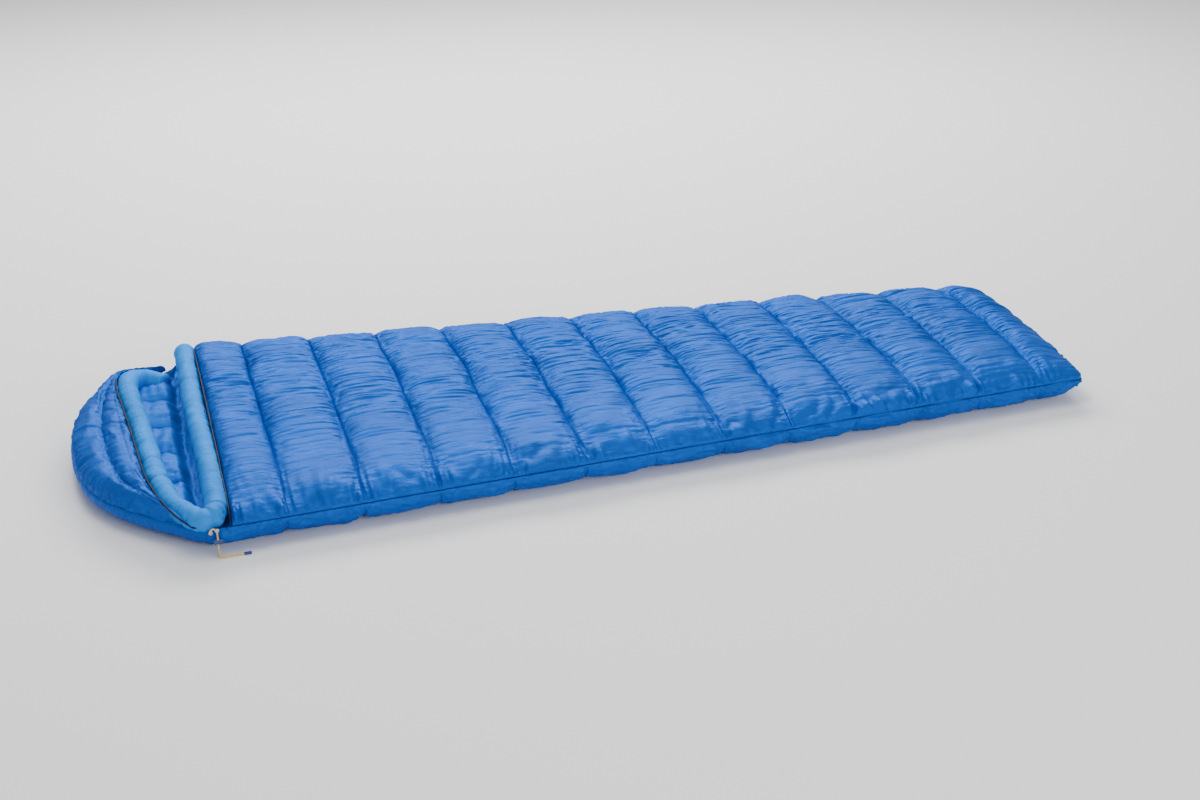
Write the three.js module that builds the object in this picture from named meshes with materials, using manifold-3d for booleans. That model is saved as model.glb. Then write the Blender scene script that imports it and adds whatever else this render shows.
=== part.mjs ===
// A hooded, rectangular down sleeping bag that unzips to a quilt, lying flat and closed.
// Two quilts of crosswise down channels are joined along the near side (-Y). A zip closes the far side
// (+Y) and the foot (+X). The hood lies on the floor past the neck (-X). Millimetres, +Z up.
// The origin is the bottom centre of the bag's box, measured without the drawcord and its lock.

import * as THREE from 'three';
import { mergeVertices } from 'three/addons/utils/BufferGeometryUtils.js';
import Module from 'manifold-3d';

const wasm = await Module();
wasm.setup();

// ---- Driving dimensions ---------------------------------------------------------------------------

const CHANNEL_PITCH = 145;
const SEAM_COUNT = 12;
const HEAD_CHANNEL = 101.5; // from the top's head edge to its first seam
const FOOT_CHANNEL = 119.5; // from the last seam to the outermost part of the foot
const HOOD_LENGTH = 265;
const HEAD_HALF_WIDTH = 408;
const FOOT_HALF_WIDTH = 258;
const SEAM_HEIGHT = 50; // the side seam, where the two quilts meet
const CREST_HEIGHT = 98;
const SHELL_THICKNESS = 1.2;
const LINING_THICKNESS = 1.0;
const LAYER_GAP = 0.4;
const SEAM_GAP = 1; // from a sewn seam to the down chamber beside it
const CROSS_POWER = 2.6; // how square the crosswise arch is
const SEAM_DIP = 14; // how deep a sewn seam lies below the crest
const FLOOR_DIP = 3; // how far a sewn seam lifts off the floor
const EDGE_CLEAR = 2; // half the gap between the two quilts at their edges
const EDGE_STACK = 6; // from the side seam to the outer face of a quilt's thin edge
const SLEEP_GAP_TOP = 4.5; // how far the top's lining arches over the side seam
const SLEEP_GAP_BOTTOM = 4.5; // how far the bottom's lining dips under it
const MOUTH_LIFT = 4; // extra arch and dip at the head opening
const CORNER_RADIUS = 45;
const ZIP_SPACE = 12; // from a quilt's zipped edge to the outermost part of the zip
const TOP_INSET = 3; // the top's near edge lies inside the hinge line
const COLLAR_RADIUS = 21;
const RIM_RADIUS = 20;
const PIPING_RADIUS = 1.7;
const NECK_BAND = 46; // the bottom quilt runs on under the collar by this much
const CORD_RADIUS = 1.3;

// ---- Places worked out from them ------------------------------------------------------------------

const SEAM_RUN = (SEAM_COUNT - 1) * CHANNEL_PITCH;
const BODY_LENGTH = HEAD_CHANNEL + SEAM_RUN + FOOT_CHANNEL;
const HEAD_X = HOOD_LENGTH - (BODY_LENGTH + HOOD_LENGTH) / 2;
const FOOT_X = HEAD_X + BODY_LENGTH;
const HOOD_X = HEAD_X - HOOD_LENGTH;
const NECK_X = HEAD_X - NECK_BAND;
const FOOT_EDGE = FOOT_X - ZIP_SPACE;
const TOP_HEAD_EDGE = HEAD_X + 4;
const FIRST_SEAM = HEAD_X + HEAD_CHANNEL;
const MOUTH_END = FIRST_SEAM + CHANNEL_PITCH; // where the head opening's extra room has faded out
const SIDE_SLOPE = (HEAD_HALF_WIDTH - FOOT_HALF_WIDTH) / BODY_LENGTH;
const SIDE_ANGLE = Math.atan(SIDE_SLOPE);
const PUFF_RAMP = 0.3 * CHANNEL_PITCH; // from a seam to the channel's full height
const seams = Array.from({ length: SEAM_COUNT }, (_, i) => FIRST_SEAM + i * CHANNEL_PITCH);

const colours = {
  shell: 0x3a70b8,
  lining: 0x3f7cc4,
  down: 0xe9e6df,
  tube: 0x57a0dd,
  piping: 0x16203c,
  tape: 0x27559a,
  coil: 0x1c2f55,
  metal: 0x8e949c,
  cord: 0xe8b24a,
  plastic: 0x2b3f78,
};

// ---- Small helpers --------------------------------------------------------------------------------

const group = new THREE.Group();

function addMesh(name, geometry, colour, roughness = 0.75, metalness = 0) {
  const material = new THREE.MeshStandardMaterial({ color: colour, roughness, metalness });
  const mesh = new THREE.Mesh(geometry, material);
  mesh.name = name;
  group.add(mesh);
  return mesh;
}

// Straight lines between [place, value] knots, level past the ends.
function ramp(knots, place) {
  if (place <= knots[0][0]) return knots[0][1];
  for (let i = 1; i < knots.length; i++) {
    const [start, low] = knots[i - 1];
    const [end, high] = knots[i];
    if (place <= end) return low + ((high - low) * (place - start)) / (end - start);
  }
  return knots[knots.length - 1][1];
}

// A closed solid between two surfaces that share one grid of (u, v) knots.
function layerSolid(uKnots, vKnots, lowerPoint, upperPoint) {
  const rows = uKnots.length;
  const columns = vKnots.length;
  const positions = [];
  for (const surface of [lowerPoint, upperPoint]) {
    for (const u of uKnots) {
      for (const v of vKnots) positions.push(...surface(u, v));
    }
  }
  const low = (i, j) => i * columns + j;
  const high = (i, j) => rows * columns + low(i, j);
  const faces = [];
  const quad = (a, b, c, d) => faces.push(a, b, c, a, c, d);
  for (let i = 0; i + 1 < rows; i++) {
    for (let j = 0; j + 1 < columns; j++) {
      quad(high(i, j), high(i + 1, j), high(i + 1, j + 1), high(i, j + 1));
      quad(low(i, j), low(i, j + 1), low(i + 1, j + 1), low(i + 1, j));
    }
    quad(low(i, 0), low(i + 1, 0), high(i + 1, 0), high(i, 0));
    quad(low(i + 1, columns - 1), low(i, columns - 1), high(i, columns - 1), high(i + 1, columns - 1));
  }
  for (let j = 0; j + 1 < columns; j++) {
    quad(low(0, j + 1), low(0, j), high(0, j), high(0, j + 1));
    quad(low(rows - 1, j), low(rows - 1, j + 1), high(rows - 1, j + 1), high(rows - 1, j));
  }
  const geometry = new THREE.BufferGeometry();
  geometry.setAttribute('position', new THREE.Float32BufferAttribute(positions, 3));
  geometry.setIndex(faces);
  geometry.computeVertexNormals();
  return geometry;
}

function tubeSolid(points, radius, sides, steps) {
  const section = new THREE.Shape();
  section.absarc(0, 0, radius, 0, 2 * Math.PI);
  const path = new THREE.CatmullRomCurve3(points, false, 'centripetal');
  return new THREE.ExtrudeGeometry(section, {
    steps,
    curveSegments: sides / 2,
    extrudePath: path,
    bevelEnabled: false,
  });
}

function boxSolid(low, high) {
  const size = high.map((value, i) => value - low[i]);
  const geometry = new THREE.BoxGeometry(...size);
  geometry.translate(...low.map((value, i) => value + size[i] / 2));
  return geometry;
}

function toManifold(geometry) {
  const bare = geometry.clone();
  bare.deleteAttribute('normal');
  bare.deleteAttribute('uv');
  const merged = mergeVertices(bare);
  return new wasm.Manifold(
    new wasm.Mesh({
      numProp: 3,
      vertProperties: Float32Array.from(merged.attributes.position.array),
      triVerts: Uint32Array.from(merged.index.array),
    }),
  );
}

function fromManifold(solid) {
  const mesh = solid.getMesh();
  const geometry = new THREE.BufferGeometry();
  geometry.setAttribute('position', new THREE.BufferAttribute(mesh.vertProperties, 3));
  geometry.setIndex(Array.from(mesh.triVerts));
  geometry.computeVertexNormals();
  return geometry;
}

// ---- The two quilts' surfaces ---------------------------------------------------------------------

const arch = (v) => (1 - Math.min(1, Math.abs(v)) ** CROSS_POWER) ** (1 / CROSS_POWER);
const flatArch = (v) => Math.min(1, arch(v) / 0.66); // level over most of the width, for the floor side

const crossKnots = [-1, -0.97, -0.85, -0.5, 0, 0.5, 0.85, 0.97, 1];
const fillKnots = crossKnots.slice(1, -1);

const halfWidth = (x) => HEAD_HALF_WIDTH - SIDE_SLOPE * (x - HEAD_X);

// The foot's profile by distance in from the zipped edge: the share of full height, and the corner.
const footHeights = [[0, 0], [7, 0.35], [22, 0.62], [CORNER_RADIUS, 0.85], [100, 1]];
const footCorner = (depth) => {
  if (depth >= CORNER_RADIUS) return 0;
  return CORNER_RADIUS - Math.sqrt(CORNER_RADIUS ** 2 - (CORNER_RADIUS - depth) ** 2);
};
const footInset = (x) => ramp(footHeights.map(([depth]) => [depth, footCorner(depth)]), FOOT_EDGE - x);
const footShare = (x) => ramp(footHeights, FOOT_EDGE - x);

const headHeights = [[0, 0.8], [12, 0.9], [45, 1]];
const topShare = (x) => Math.min(ramp(headHeights, x - TOP_HEAD_EDGE), footShare(x));

// 0 on a sewn seam, 1 at the channel's full height.
const puff = (x) => Math.min(1, ...seams.map((seam) => Math.abs(x - seam) / PUFF_RAMP));
const mouth = (x) => ramp([[HEAD_X, MOUTH_LIFT], [MOUTH_END, 0]], x);

// v runs from -1 on the near edge to 1 on the far, zipped edge.
function crossPlace(x, v, nearInset) {
  const near = -halfWidth(x) + nearInset + footInset(x);
  const far = halfWidth(x) - ZIP_SPACE - footInset(x);
  return near + ((v + 1) / 2) * (far - near);
}

const topRise = CREST_HEIGHT - SEAM_HEIGHT - EDGE_STACK;
const topOuter = (x, v) =>
  SEAM_HEIGHT + EDGE_STACK + arch(v) * topShare(x) * (topRise - SEAM_DIP * (1 - puff(x)));
const topInner = (x, v) =>
  SEAM_HEIGHT + EDGE_CLEAR + arch(v) * footShare(x) * (SLEEP_GAP_TOP + mouth(x));
const bottomOuter = (x, v) =>
  (SEAM_HEIGHT - EDGE_STACK) * (1 - flatArch(v) * footShare(x)) +
  FLOOR_DIP * (1 - puff(x)) * flatArch(v) * footShare(x);
const bottomInner = (x, v) =>
  SEAM_HEIGHT - EDGE_CLEAR - arch(v) * footShare(x) * (SLEEP_GAP_BOTTOM + mouth(x));

// One layer of a quilt, between two heights.
function quiltLayer(stations, vKnots, nearInset, lower, upper) {
  const point = (height) => (x, v) => [x, crossPlace(x, v, nearInset), height(x, v)];
  return layerSolid(stations, vKnots, point(lower), point(upper));
}

const raise = (surface, amount) => (x, v) => surface(x, v) + amount;

const footStations = footHeights.slice(0, -1).map(([depth]) => FOOT_EDGE - depth).reverse();
const seamStations = seams.flatMap((seam) => [seam - PUFF_RAMP, seam, seam + PUFF_RAMP]);

function shellStations(headEdge, headKnots) {
  const inner = seamStations.filter((x) => x > headEdge + 1 && x < footStations[0] - 4);
  return [headEdge, ...headKnots, ...inner, ...footStations];
}

// The stations of each down chamber, held off the seams either side of it.
function chamberStations(index, headEdge) {
  if (index === 0) return [headEdge, seams[0] - PUFF_RAMP, seams[0] - SEAM_GAP];
  const start = seams[index - 1];
  if (index === SEAM_COUNT) return [start + SEAM_GAP, start + PUFF_RAMP, ...footStations.slice(0, -1)];
  return [start + SEAM_GAP, start + PUFF_RAMP, seams[index] - PUFF_RAMP, seams[index] - SEAM_GAP];
}

function buildQuilt(side, spec) {
  const { headEdge, headKnots, nearInset, shell, lining, fill } = spec;
  const stations = shellStations(headEdge, headKnots);
  addMesh(`${side}_shell`, quiltLayer(stations, crossKnots, nearInset, ...shell), colours.shell, 0.5);
  const plainSeams = seams.filter((x) => x > MOUTH_END);
  const mouthStations = stations.filter((x) => x <= MOUTH_END);
  const liningStations = [...mouthStations, ...plainSeams, ...footStations];
  addMesh(`${side}_lining`, quiltLayer(liningStations, crossKnots, nearInset, ...lining), colours.lining);
  for (let i = 0; i <= SEAM_COUNT; i++) {
    const start = i === 0 && headKnots.length ? headKnots[0] : headEdge + SEAM_GAP;
    const places = chamberStations(i, start);
    const name = `${side}_chamber_${String(i + 1).padStart(2, '0')}`;
    addMesh(name, quiltLayer(places, fillKnots, nearInset, ...fill), colours.down, 0.95);
  }
}

buildQuilt('bottom', {
  headEdge: NECK_X,
  headKnots: [],
  nearInset: 0,
  shell: [bottomOuter, raise(bottomOuter, SHELL_THICKNESS)],
  lining: [raise(bottomInner, -LINING_THICKNESS), bottomInner],
  fill: [
    raise(bottomOuter, SHELL_THICKNESS + LAYER_GAP),
    raise(bottomInner, -LINING_THICKNESS - LAYER_GAP),
  ],
});

buildQuilt('top', {
  headEdge: TOP_HEAD_EDGE,
  headKnots: headHeights.slice(1).map(([depth]) => TOP_HEAD_EDGE + depth),
  nearInset: TOP_INSET,
  shell: [raise(topOuter, -SHELL_THICKNESS), topOuter],
  lining: [topInner, raise(topInner, LINING_THICKNESS)],
  fill: [
    raise(topInner, LINING_THICKNESS + LAYER_GAP),
    raise(topOuter, -SHELL_THICKNESS - LAYER_GAP),
  ],
});

// ---- The collar: a padded tube and dark piping along the top's head edge --------------------------

function collarTube() {
  const places = [-1, -0.6, -0.2, 0.2, 0.6, 1];
  const nearEnd = -halfWidth(HEAD_X) + 17;
  const farEnd = halfWidth(HEAD_X) - ZIP_SPACE - 4;
  const points = places.map((v) => {
    const y = nearEnd + ((v + 1) / 2) * (farEnd - nearEnd);
    return new THREE.Vector3(HEAD_X - COLLAR_RADIUS - 1, y, SEAM_HEIGHT + COLLAR_RADIUS + 2 + 3 * arch(v));
  });
  return tubeSolid(points, COLLAR_RADIUS, 12, 12);
}
addMesh('collar_tube', collarTube(), colours.tube, 0.85);

function collarPiping() {
  const places = [-0.985, -0.95, -0.85, -0.6, -0.3, 0, 0.3, 0.6, 0.85, 0.95, 0.985];
  const below = 5;
  const points = places.map((v) => {
    const y = crossPlace(TOP_HEAD_EDGE, v, TOP_INSET);
    const z = Math.max(SEAM_HEIGHT + 3, topOuter(TOP_HEAD_EDGE, v) - below);
    return new THREE.Vector3(TOP_HEAD_EDGE - 2.5, y, z);
  });
  return tubeSolid(points, PIPING_RADIUS, 6, 18);
}
addMesh('collar_piping', collarPiping(), colours.piping);

// ---- The hood -------------------------------------------------------------------------------------

const hoodHalf = (x) => HEAD_HALF_WIDTH * Math.sqrt(1 - ((HEAD_X - x) / HOOD_LENGTH) ** 2);
const hoodEnd = HOOD_X + 4.5;
const hoodFront = NECK_X - 1;
// The hood's floor by distance in from its outer end: the share of full depth.
const hoodDepths = [[0, 0], [16, 0.55], [50, 1], [105, 1], [165, 1]];
const hoodShare = (x) => ramp(hoodDepths, x - hoodEnd);
const hoodStations = [...hoodDepths.map(([depth]) => hoodEnd + depth), hoodFront];
const hoodFloorOuter = (x, v) => (SEAM_HEIGHT - EDGE_STACK) * (1 - flatArch(v) * hoodShare(x));
const hoodFloorInner = (x, v) =>
  SEAM_HEIGHT - EDGE_CLEAR - arch(v) * hoodShare(x) * (SLEEP_GAP_BOTTOM + MOUTH_LIFT);

function hoodFloorLayer(vKnots, stations, lower, upper) {
  const point = (height) => (x, v) => [x, v * hoodHalf(x), height(x, v)];
  return layerSolid(stations, vKnots, point(lower), point(upper));
}

addMesh(
  'hood_floor_shell',
  hoodFloorLayer(crossKnots, hoodStations, hoodFloorOuter, raise(hoodFloorOuter, SHELL_THICKNESS)),
  colours.shell,
  0.5,
);
addMesh(
  'hood_floor_lining',
  hoodFloorLayer(crossKnots, hoodStations, raise(hoodFloorInner, -LINING_THICKNESS), hoodFloorInner),
  colours.lining,
);
addMesh(
  'hood_floor_chamber',
  hoodFloorLayer(
    fillKnots,
    hoodStations.slice(1),
    raise(hoodFloorOuter, SHELL_THICKNESS + LAYER_GAP),
    raise(hoodFloorInner, -LINING_THICKNESS - LAYER_GAP),
  ),
  colours.down,
  0.95,
);

// The hood's wall is a crescent: s runs from its outer edge (0) to its rim (1), and turn runs from the
// near end (0) round the head to the far end (1).
const WALL_START = 82.5; // from the collar's line to where the wall begins at each side
const wallStart = Math.asin(WALL_START / HOOD_LENGTH);
const wallAngle = (turn) => wallStart + turn * (Math.PI - 2 * wallStart);
const WALL_SEAM = 0.5;
const WALL_SEAM_DIP = 8;
const RIM_NEAR_Y = -334;
const RIM_FAR_Y = 290;
const RIM_BACK_X = HEAD_X - 104.5;
const RIM_BOW = 55;

function wallOuterLine(turn) {
  const angle = wallAngle(turn);
  return new THREE.Vector2(HEAD_X - HOOD_LENGTH * Math.sin(angle), -HEAD_HALF_WIDTH * Math.cos(angle));
}

function rimLine(turn) {
  const angle = Math.PI * turn;
  const middle = (RIM_NEAR_Y + RIM_FAR_Y) / 2;
  const half = (RIM_FAR_Y - RIM_NEAR_Y) / 2;
  return new THREE.Vector2(RIM_BACK_X - RIM_BOW * Math.sin(angle) ** 0.8, middle - half * Math.cos(angle));
}

const wallPlace = (s, turn) => wallOuterLine(turn).lerp(rimLine(turn), s);
const wallBulge = (s) => (1 - (1 - s) ** 2.4) ** (1 / 2.4);
const wallDip = (s) => ramp([[0.28, 0], [0.48, WALL_SEAM_DIP], [0.52, WALL_SEAM_DIP], [0.75, 0]], s);

// The wall's height fades out towards the neck, so that the hood can tip up past the collar.
function wallOuter(s, turn) {
  const clear = NECK_X - wallPlace(s, turn).x;
  const rise = Math.min(topRise * wallBulge(s), 0.5 * clear);
  return SEAM_HEIGHT + EDGE_STACK + rise - wallDip(s) * Math.min(1, clear / 120);
}
function wallInner(s, turn) {
  const clear = NECK_X - wallPlace(s, turn).x;
  return SEAM_HEIGHT + EDGE_CLEAR + Math.min(14 * s, 0.15 * clear);
}

const wallKnots = [0, 0.1, 0.28, 0.48, 0.52, 0.75, 0.97, 1];
const wallTurns = Array.from({ length: 13 }, (_, i) => i / 12);

function wallLayer(knots, lower, upper) {
  const point = (height) => (s, turn) => {
    const place = wallPlace(s, turn);
    return [place.x, place.y, height(s, turn)];
  };
  return layerSolid(knots, wallTurns, point(lower), point(upper));
}

addMesh(
  'hood_wall_shell',
  wallLayer(wallKnots, raise(wallOuter, -SHELL_THICKNESS), wallOuter),
  colours.shell,
  0.5,
);
addMesh(
  'hood_wall_lining',
  wallLayer(wallKnots, wallInner, raise(wallInner, LINING_THICKNESS)),
  colours.lining,
);
const wallFill = [
  raise(wallInner, LINING_THICKNESS + LAYER_GAP),
  raise(wallOuter, -SHELL_THICKNESS - LAYER_GAP),
];
const outerFill = wallKnots.filter((s) => s > 0 && s < WALL_SEAM);
const innerFill = wallKnots.filter((s) => s > WALL_SEAM && s < 1);
addMesh('hood_chamber_outer', wallLayer(outerFill, ...wallFill), colours.down, 0.95);
addMesh('hood_chamber_inner', wallLayer(innerFill, ...wallFill), colours.down, 0.95);

// A line inside the rim, at a distance from the wall's inner edge and a height above its outer face.
function rimPath(distance, rise) {
  return wallTurns.map((turn) => {
    const step = 0.01;
    const along = rimLine(Math.min(1, turn + step)).sub(rimLine(Math.max(0, turn - step))).normalize();
    const inward = new THREE.Vector2(along.y, -along.x);
    const place = rimLine(turn).addScaledVector(inward, distance);
    return new THREE.Vector3(place.x, place.y, wallOuter(1, turn) + rise);
  });
}
const rimTubePath = rimPath(5.2 + RIM_RADIUS, 2 - RIM_RADIUS);
addMesh('hood_rim_tube', tubeSolid(rimTubePath, RIM_RADIUS, 12, 18), colours.tube, 0.85);
addMesh('hood_rim_piping', tubeSolid(rimPath(2.5, -4), PIPING_RADIUS, 6, 22), colours.piping);

// ---- The zip: two tapes and coils along the far side and round the foot ---------------------------

const zipTurn = Math.PI / 2 - SIDE_ANGLE;
const cornerX = FOOT_EDGE - CORNER_RADIUS;
const cornerY = halfWidth(cornerX) - ZIP_SPACE - CORNER_RADIUS / Math.cos(SIDE_ANGLE);
const ZIP_HEAD = TOP_HEAD_EDGE + 2;
const ZIP_END_Y = -150;
const ZIP_MIDDLE = 5; // from the quilts' edge to the zip's middle plane

// The zip's line in plan, at a distance outside the quilts' edge.
function zipLine(distance) {
  const points = [];
  const headOffset = distance / Math.cos(SIDE_ANGLE);
  points.push(new THREE.Vector2(ZIP_HEAD, halfWidth(ZIP_HEAD) - ZIP_SPACE + headOffset));
  const steps = 6;
  for (let i = 0; i <= steps; i++) {
    const angle = zipTurn * (1 - i / steps);
    const reach = CORNER_RADIUS + distance;
    points.push(new THREE.Vector2(cornerX + reach * Math.cos(angle), cornerY + reach * Math.sin(angle)));
  }
  points.push(new THREE.Vector2(FOOT_EDGE + distance, ZIP_END_Y));
  return points;
}

function zipStrip(halfThickness, low, high) {
  const outer = zipLine(ZIP_MIDDLE + halfThickness);
  const inner = zipLine(ZIP_MIDDLE - halfThickness).reverse();
  const outline = new THREE.Shape([...outer, ...inner]);
  const geometry = new THREE.ExtrudeGeometry(outline, { depth: high - low, bevelEnabled: false });
  geometry.translate(0, 0, low);
  return geometry;
}

const COIL_CLEAR = 1.1; // from the side seam's plane to each coil, where a slider's post runs
const COIL_DEPTH = 2;
const TAPE_WIDTH = 10;
const coilTop = COIL_CLEAR + COIL_DEPTH;
const tapeStart = coilTop + LAYER_GAP;
const zipZ = (height) => SEAM_HEIGHT + height;
addMesh('zip_tape_bottom', zipStrip(0.4, zipZ(-tapeStart - TAPE_WIDTH), zipZ(-tapeStart)), colours.tape);
addMesh('zip_tape_top', zipStrip(0.4, zipZ(tapeStart), zipZ(tapeStart + TAPE_WIDTH)), colours.tape);
addMesh('zip_coil_bottom', zipStrip(1.4, zipZ(-coilTop), zipZ(-COIL_CLEAR)), colours.coil, 0.4);
addMesh('zip_coil_top', zipStrip(1.4, zipZ(COIL_CLEAR), zipZ(coilTop)), colours.coil, 0.4);

// The zip's closed end at the foot: the bottom tape's retaining box and the top tape's insertion pin.
const endX = FOOT_EDGE + ZIP_MIDDLE;
const endY = ZIP_END_Y - LAYER_GAP;
addMesh(
  'zip_retaining_box',
  boxSolid([endX - 2.4, endY - 10, zipZ(-9)], [endX + 2.4, endY, zipZ(-0.5)]),
  colours.metal,
  0.35,
  0.8,
);
addMesh(
  'zip_insertion_pin',
  boxSolid([endX - 1.2, endY - 9, zipZ(0.5)], [endX + 1.2, endY, zipZ(12)]),
  colours.metal,
  0.35,
  0.8,
);

// A slider: two plates joined by a post that runs between the coils, and a bridge for the pull.
// Its own axes: x along the zip, y outward, z up.
const SLIDER_HALF_LENGTH = 7;
const SLIDER_HALF_HEIGHT = 6;
const PLATE_START = 1.9; // from the zip's middle plane to each plate, clear of the coils
const PLATE_END = 3.5;
const POST_HALF_HEIGHT = 0.7;
const BRIDGE_HALF_LENGTH = 3.5;
const BRIDGE_HALF_HEIGHT = 1.2;
const BRIDGE_END = 6.8;
const BRIDGE_WALL = 1;
function sliderSolid() {
  const length = SLIDER_HALF_LENGTH;
  const height = SLIDER_HALF_HEIGHT;
  const reach = BRIDGE_HALF_LENGTH;
  const wall = BRIDGE_WALL;
  const rise = BRIDGE_HALF_HEIGHT;
  const foot = PLATE_END - 0.3;
  const plates = [
    boxSolid([-length, PLATE_START, -height], [length, PLATE_END, height]),
    boxSolid([-length, -PLATE_END, -height], [length, -PLATE_START, height]),
    boxSolid([-3, -PLATE_START - 0.3, -POST_HALF_HEIGHT], [6, PLATE_START + 0.3, POST_HALF_HEIGHT]),
    boxSolid([-reach, foot, -rise], [wall - reach, BRIDGE_END, rise]),
    boxSolid([reach - wall, foot, -rise], [reach, BRIDGE_END, rise]),
    boxSolid([-reach, BRIDGE_END - wall, -rise], [reach, BRIDGE_END, rise]),
  ];
  const [first, ...rest] = plates.map(toManifold);
  return fromManifold(rest.reduce((solid, plate) => solid.add(plate), first));
}

// The pull: a flat tab with an eye, whose end bar turns under the slider's bridge.
const PULL_PIVOT = 4.7;
function pullSolid() {
  const outline = new THREE.Shape();
  outline.moveTo(0.6, -3.2);
  outline.lineTo(0.6, 3.2);
  outline.lineTo(-6, 3.2);
  outline.lineTo(-9, 4.5);
  outline.lineTo(-27, 4.5);
  outline.absarc(-27, 0, 4.5, Math.PI / 2, 1.5 * Math.PI, false);
  outline.lineTo(-9, -4.5);
  outline.lineTo(-6, -3.2);
  const eye = new THREE.Path([
    new THREE.Vector2(-0.6, -1.9),
    new THREE.Vector2(-0.6, 1.9),
    new THREE.Vector2(-5.4, 1.9),
    new THREE.Vector2(-5.4, -1.9),
  ]);
  outline.holes.push(eye);
  const depth = 1.2;
  const geometry = new THREE.ExtrudeGeometry(outline, { depth, bevelEnabled: false, curveSegments: 8 });
  geometry.rotateX(Math.PI / 2);
  geometry.translate(0, PULL_PIVOT + depth / 2, 0);
  return geometry;
}

function placeSlider(end, place, angle) {
  for (const [piece, solid] of [['slider', sliderSolid()], ['pull', pullSolid()]]) {
    const mesh = addMesh(`zip_${piece}_${end}`, solid, colours.metal, 0.35, 0.8);
    mesh.position.set(place.x, place.y, SEAM_HEIGHT);
    mesh.rotation.z = angle;
  }
}

const SLIDER_FROM_HEAD = 120;
const sliderX = TOP_HEAD_EDGE + SLIDER_FROM_HEAD;
const sliderOffset = ZIP_MIDDLE / Math.cos(SIDE_ANGLE) - ZIP_SPACE;
placeSlider('head', new THREE.Vector2(sliderX, halfWidth(sliderX) + sliderOffset), -SIDE_ANGLE);
const FOOT_SLIDER_Y = ZIP_END_Y + 40;
placeSlider('foot', new THREE.Vector2(endX, FOOT_SLIDER_Y), -Math.PI / 2);

// The draft tube: a flat padded tube under the top's lining, just inside the zip.
const DRAFT_HALF_THICKNESS = 1.9;
const DRAFT_HALF_WIDTH = 11;
const DRAFT_PLACE = 0.9; // its place across the bag, from the near edge (-1) to the far edge (1)
function draftTube() {
  const section = new THREE.Shape();
  section.absellipse(0, 0, DRAFT_HALF_THICKNESS, DRAFT_HALF_WIDTH, 0, 2 * Math.PI);
  const line = [HEAD_X + 30, MOUTH_END, 0, cornerX - 60].map((x) => {
    const z = topInner(x, DRAFT_PLACE + 0.02) - DRAFT_HALF_THICKNESS - 1;
    return new THREE.Vector3(x, crossPlace(x, DRAFT_PLACE, TOP_INSET), z);
  });
  return new THREE.ExtrudeGeometry(section, {
    steps: 12,
    curveSegments: 5,
    extrudePath: new THREE.CatmullRomCurve3(line),
    bevelEnabled: false,
  });
}
addMesh('draft_tube', draftTube(), colours.tube, 0.85);

// ---- The drawcord, its lock and its end -----------------------------------------------------------

const LOCK_X = HEAD_X - 25; // the strands' place along the bag
const LOCK_Y = -halfWidth(LOCK_X) - 9;
const LOCK_Z = 30;
const STRAND_SPACING = 1.45; // from the lock's middle to each strand
const BARREL_RADIUS = 5.3;
const BARREL_LENGTH = 12;
const CORD_PLACE = 7.7; // from the barrel's closed end to the strands
const SLOT_HALF = STRAND_SPACING + CORD_RADIUS + 0.3;
const SLOT_WIDTH_HALF = 1.6;
const PLUNGER_TRAVEL = 2.2;

// Turns a lathe's +Y axis to the lock's axis, +X, with the strands at x = 0.
function alongLock(geometry) {
  geometry.rotateZ(-Math.PI / 2);
  geometry.translate(-CORD_PLACE, 0, 0);
  return geometry;
}

function latheSolid(outline, sides) {
  return new THREE.LatheGeometry(outline.map(([r, y]) => new THREE.Vector2(r, y)), sides);
}

function lockSlot(start, end) {
  const low = [start - CORD_PLACE, -SLOT_HALF, -8];
  return boxSolid(low, [end - CORD_PLACE, SLOT_HALF, 8]);
}

function barrelSolid() {
  const r = BARREL_RADIUS;
  const outline = [
    [0, 0], [r - 1, 0], [r, 1], [r, BARREL_LENGTH], [r - 1, BARREL_LENGTH], [r - 1, 1.2], [0, 1.2],
  ];
  const cup = toManifold(alongLock(latheSolid(outline, 20)));
  const slot = lockSlot(CORD_PLACE - SLOT_WIDTH_HALF, CORD_PLACE + SLOT_WIDTH_HALF);
  return fromManifold(cup.subtract(toManifold(slot)));
}

function plungerSolid() {
  const r = BARREL_RADIUS - 1.3;
  const head = BARREL_LENGTH + PLUNGER_TRAVEL + 0.1;
  const cap = r + 0.9;
  const outline = [
    [0, 5], [r, 5], [r, head], [cap, head], [cap, head + 1.2], [r - 0.6, head + 2.2], [0, head + 2.2],
  ];
  const stem = toManifold(alongLock(latheSolid(outline, 20)));
  const slotEnd = CORD_PLACE + SLOT_WIDTH_HALF + PLUNGER_TRAVEL;
  const slot = toManifold(lockSlot(CORD_PLACE - SLOT_WIDTH_HALF, slotEnd));
  return fromManifold(stem.subtract(slot));
}

function springSolid() {
  const turns = 2.5;
  const steps = 30;
  const coil = new THREE.CatmullRomCurve3(
    Array.from({ length: steps + 1 }, (_, i) => {
      const share = i / steps;
      const angle = share * turns * 2 * Math.PI;
      return new THREE.Vector3(2.3 * Math.cos(angle), 1.75 + 2.7 * share, 2.3 * Math.sin(angle));
    }),
  );
  const section = new THREE.Shape();
  section.absarc(0, 0, 0.25, 0, 2 * Math.PI);
  const settings = { steps, curveSegments: 3, extrudePath: coil, bevelEnabled: false };
  return alongLock(new THREE.ExtrudeGeometry(section, settings));
}

for (const [name, solid, colour] of [
  ['cord_lock_barrel', barrelSolid(), colours.plastic],
  ['cord_lock_plunger', plungerSolid(), colours.plastic],
  ['cord_lock_spring', springSolid(), colours.metal],
]) {
  addMesh(name, solid, colour, 0.4).position.set(LOCK_X, LOCK_Y, LOCK_Z);
}

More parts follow.
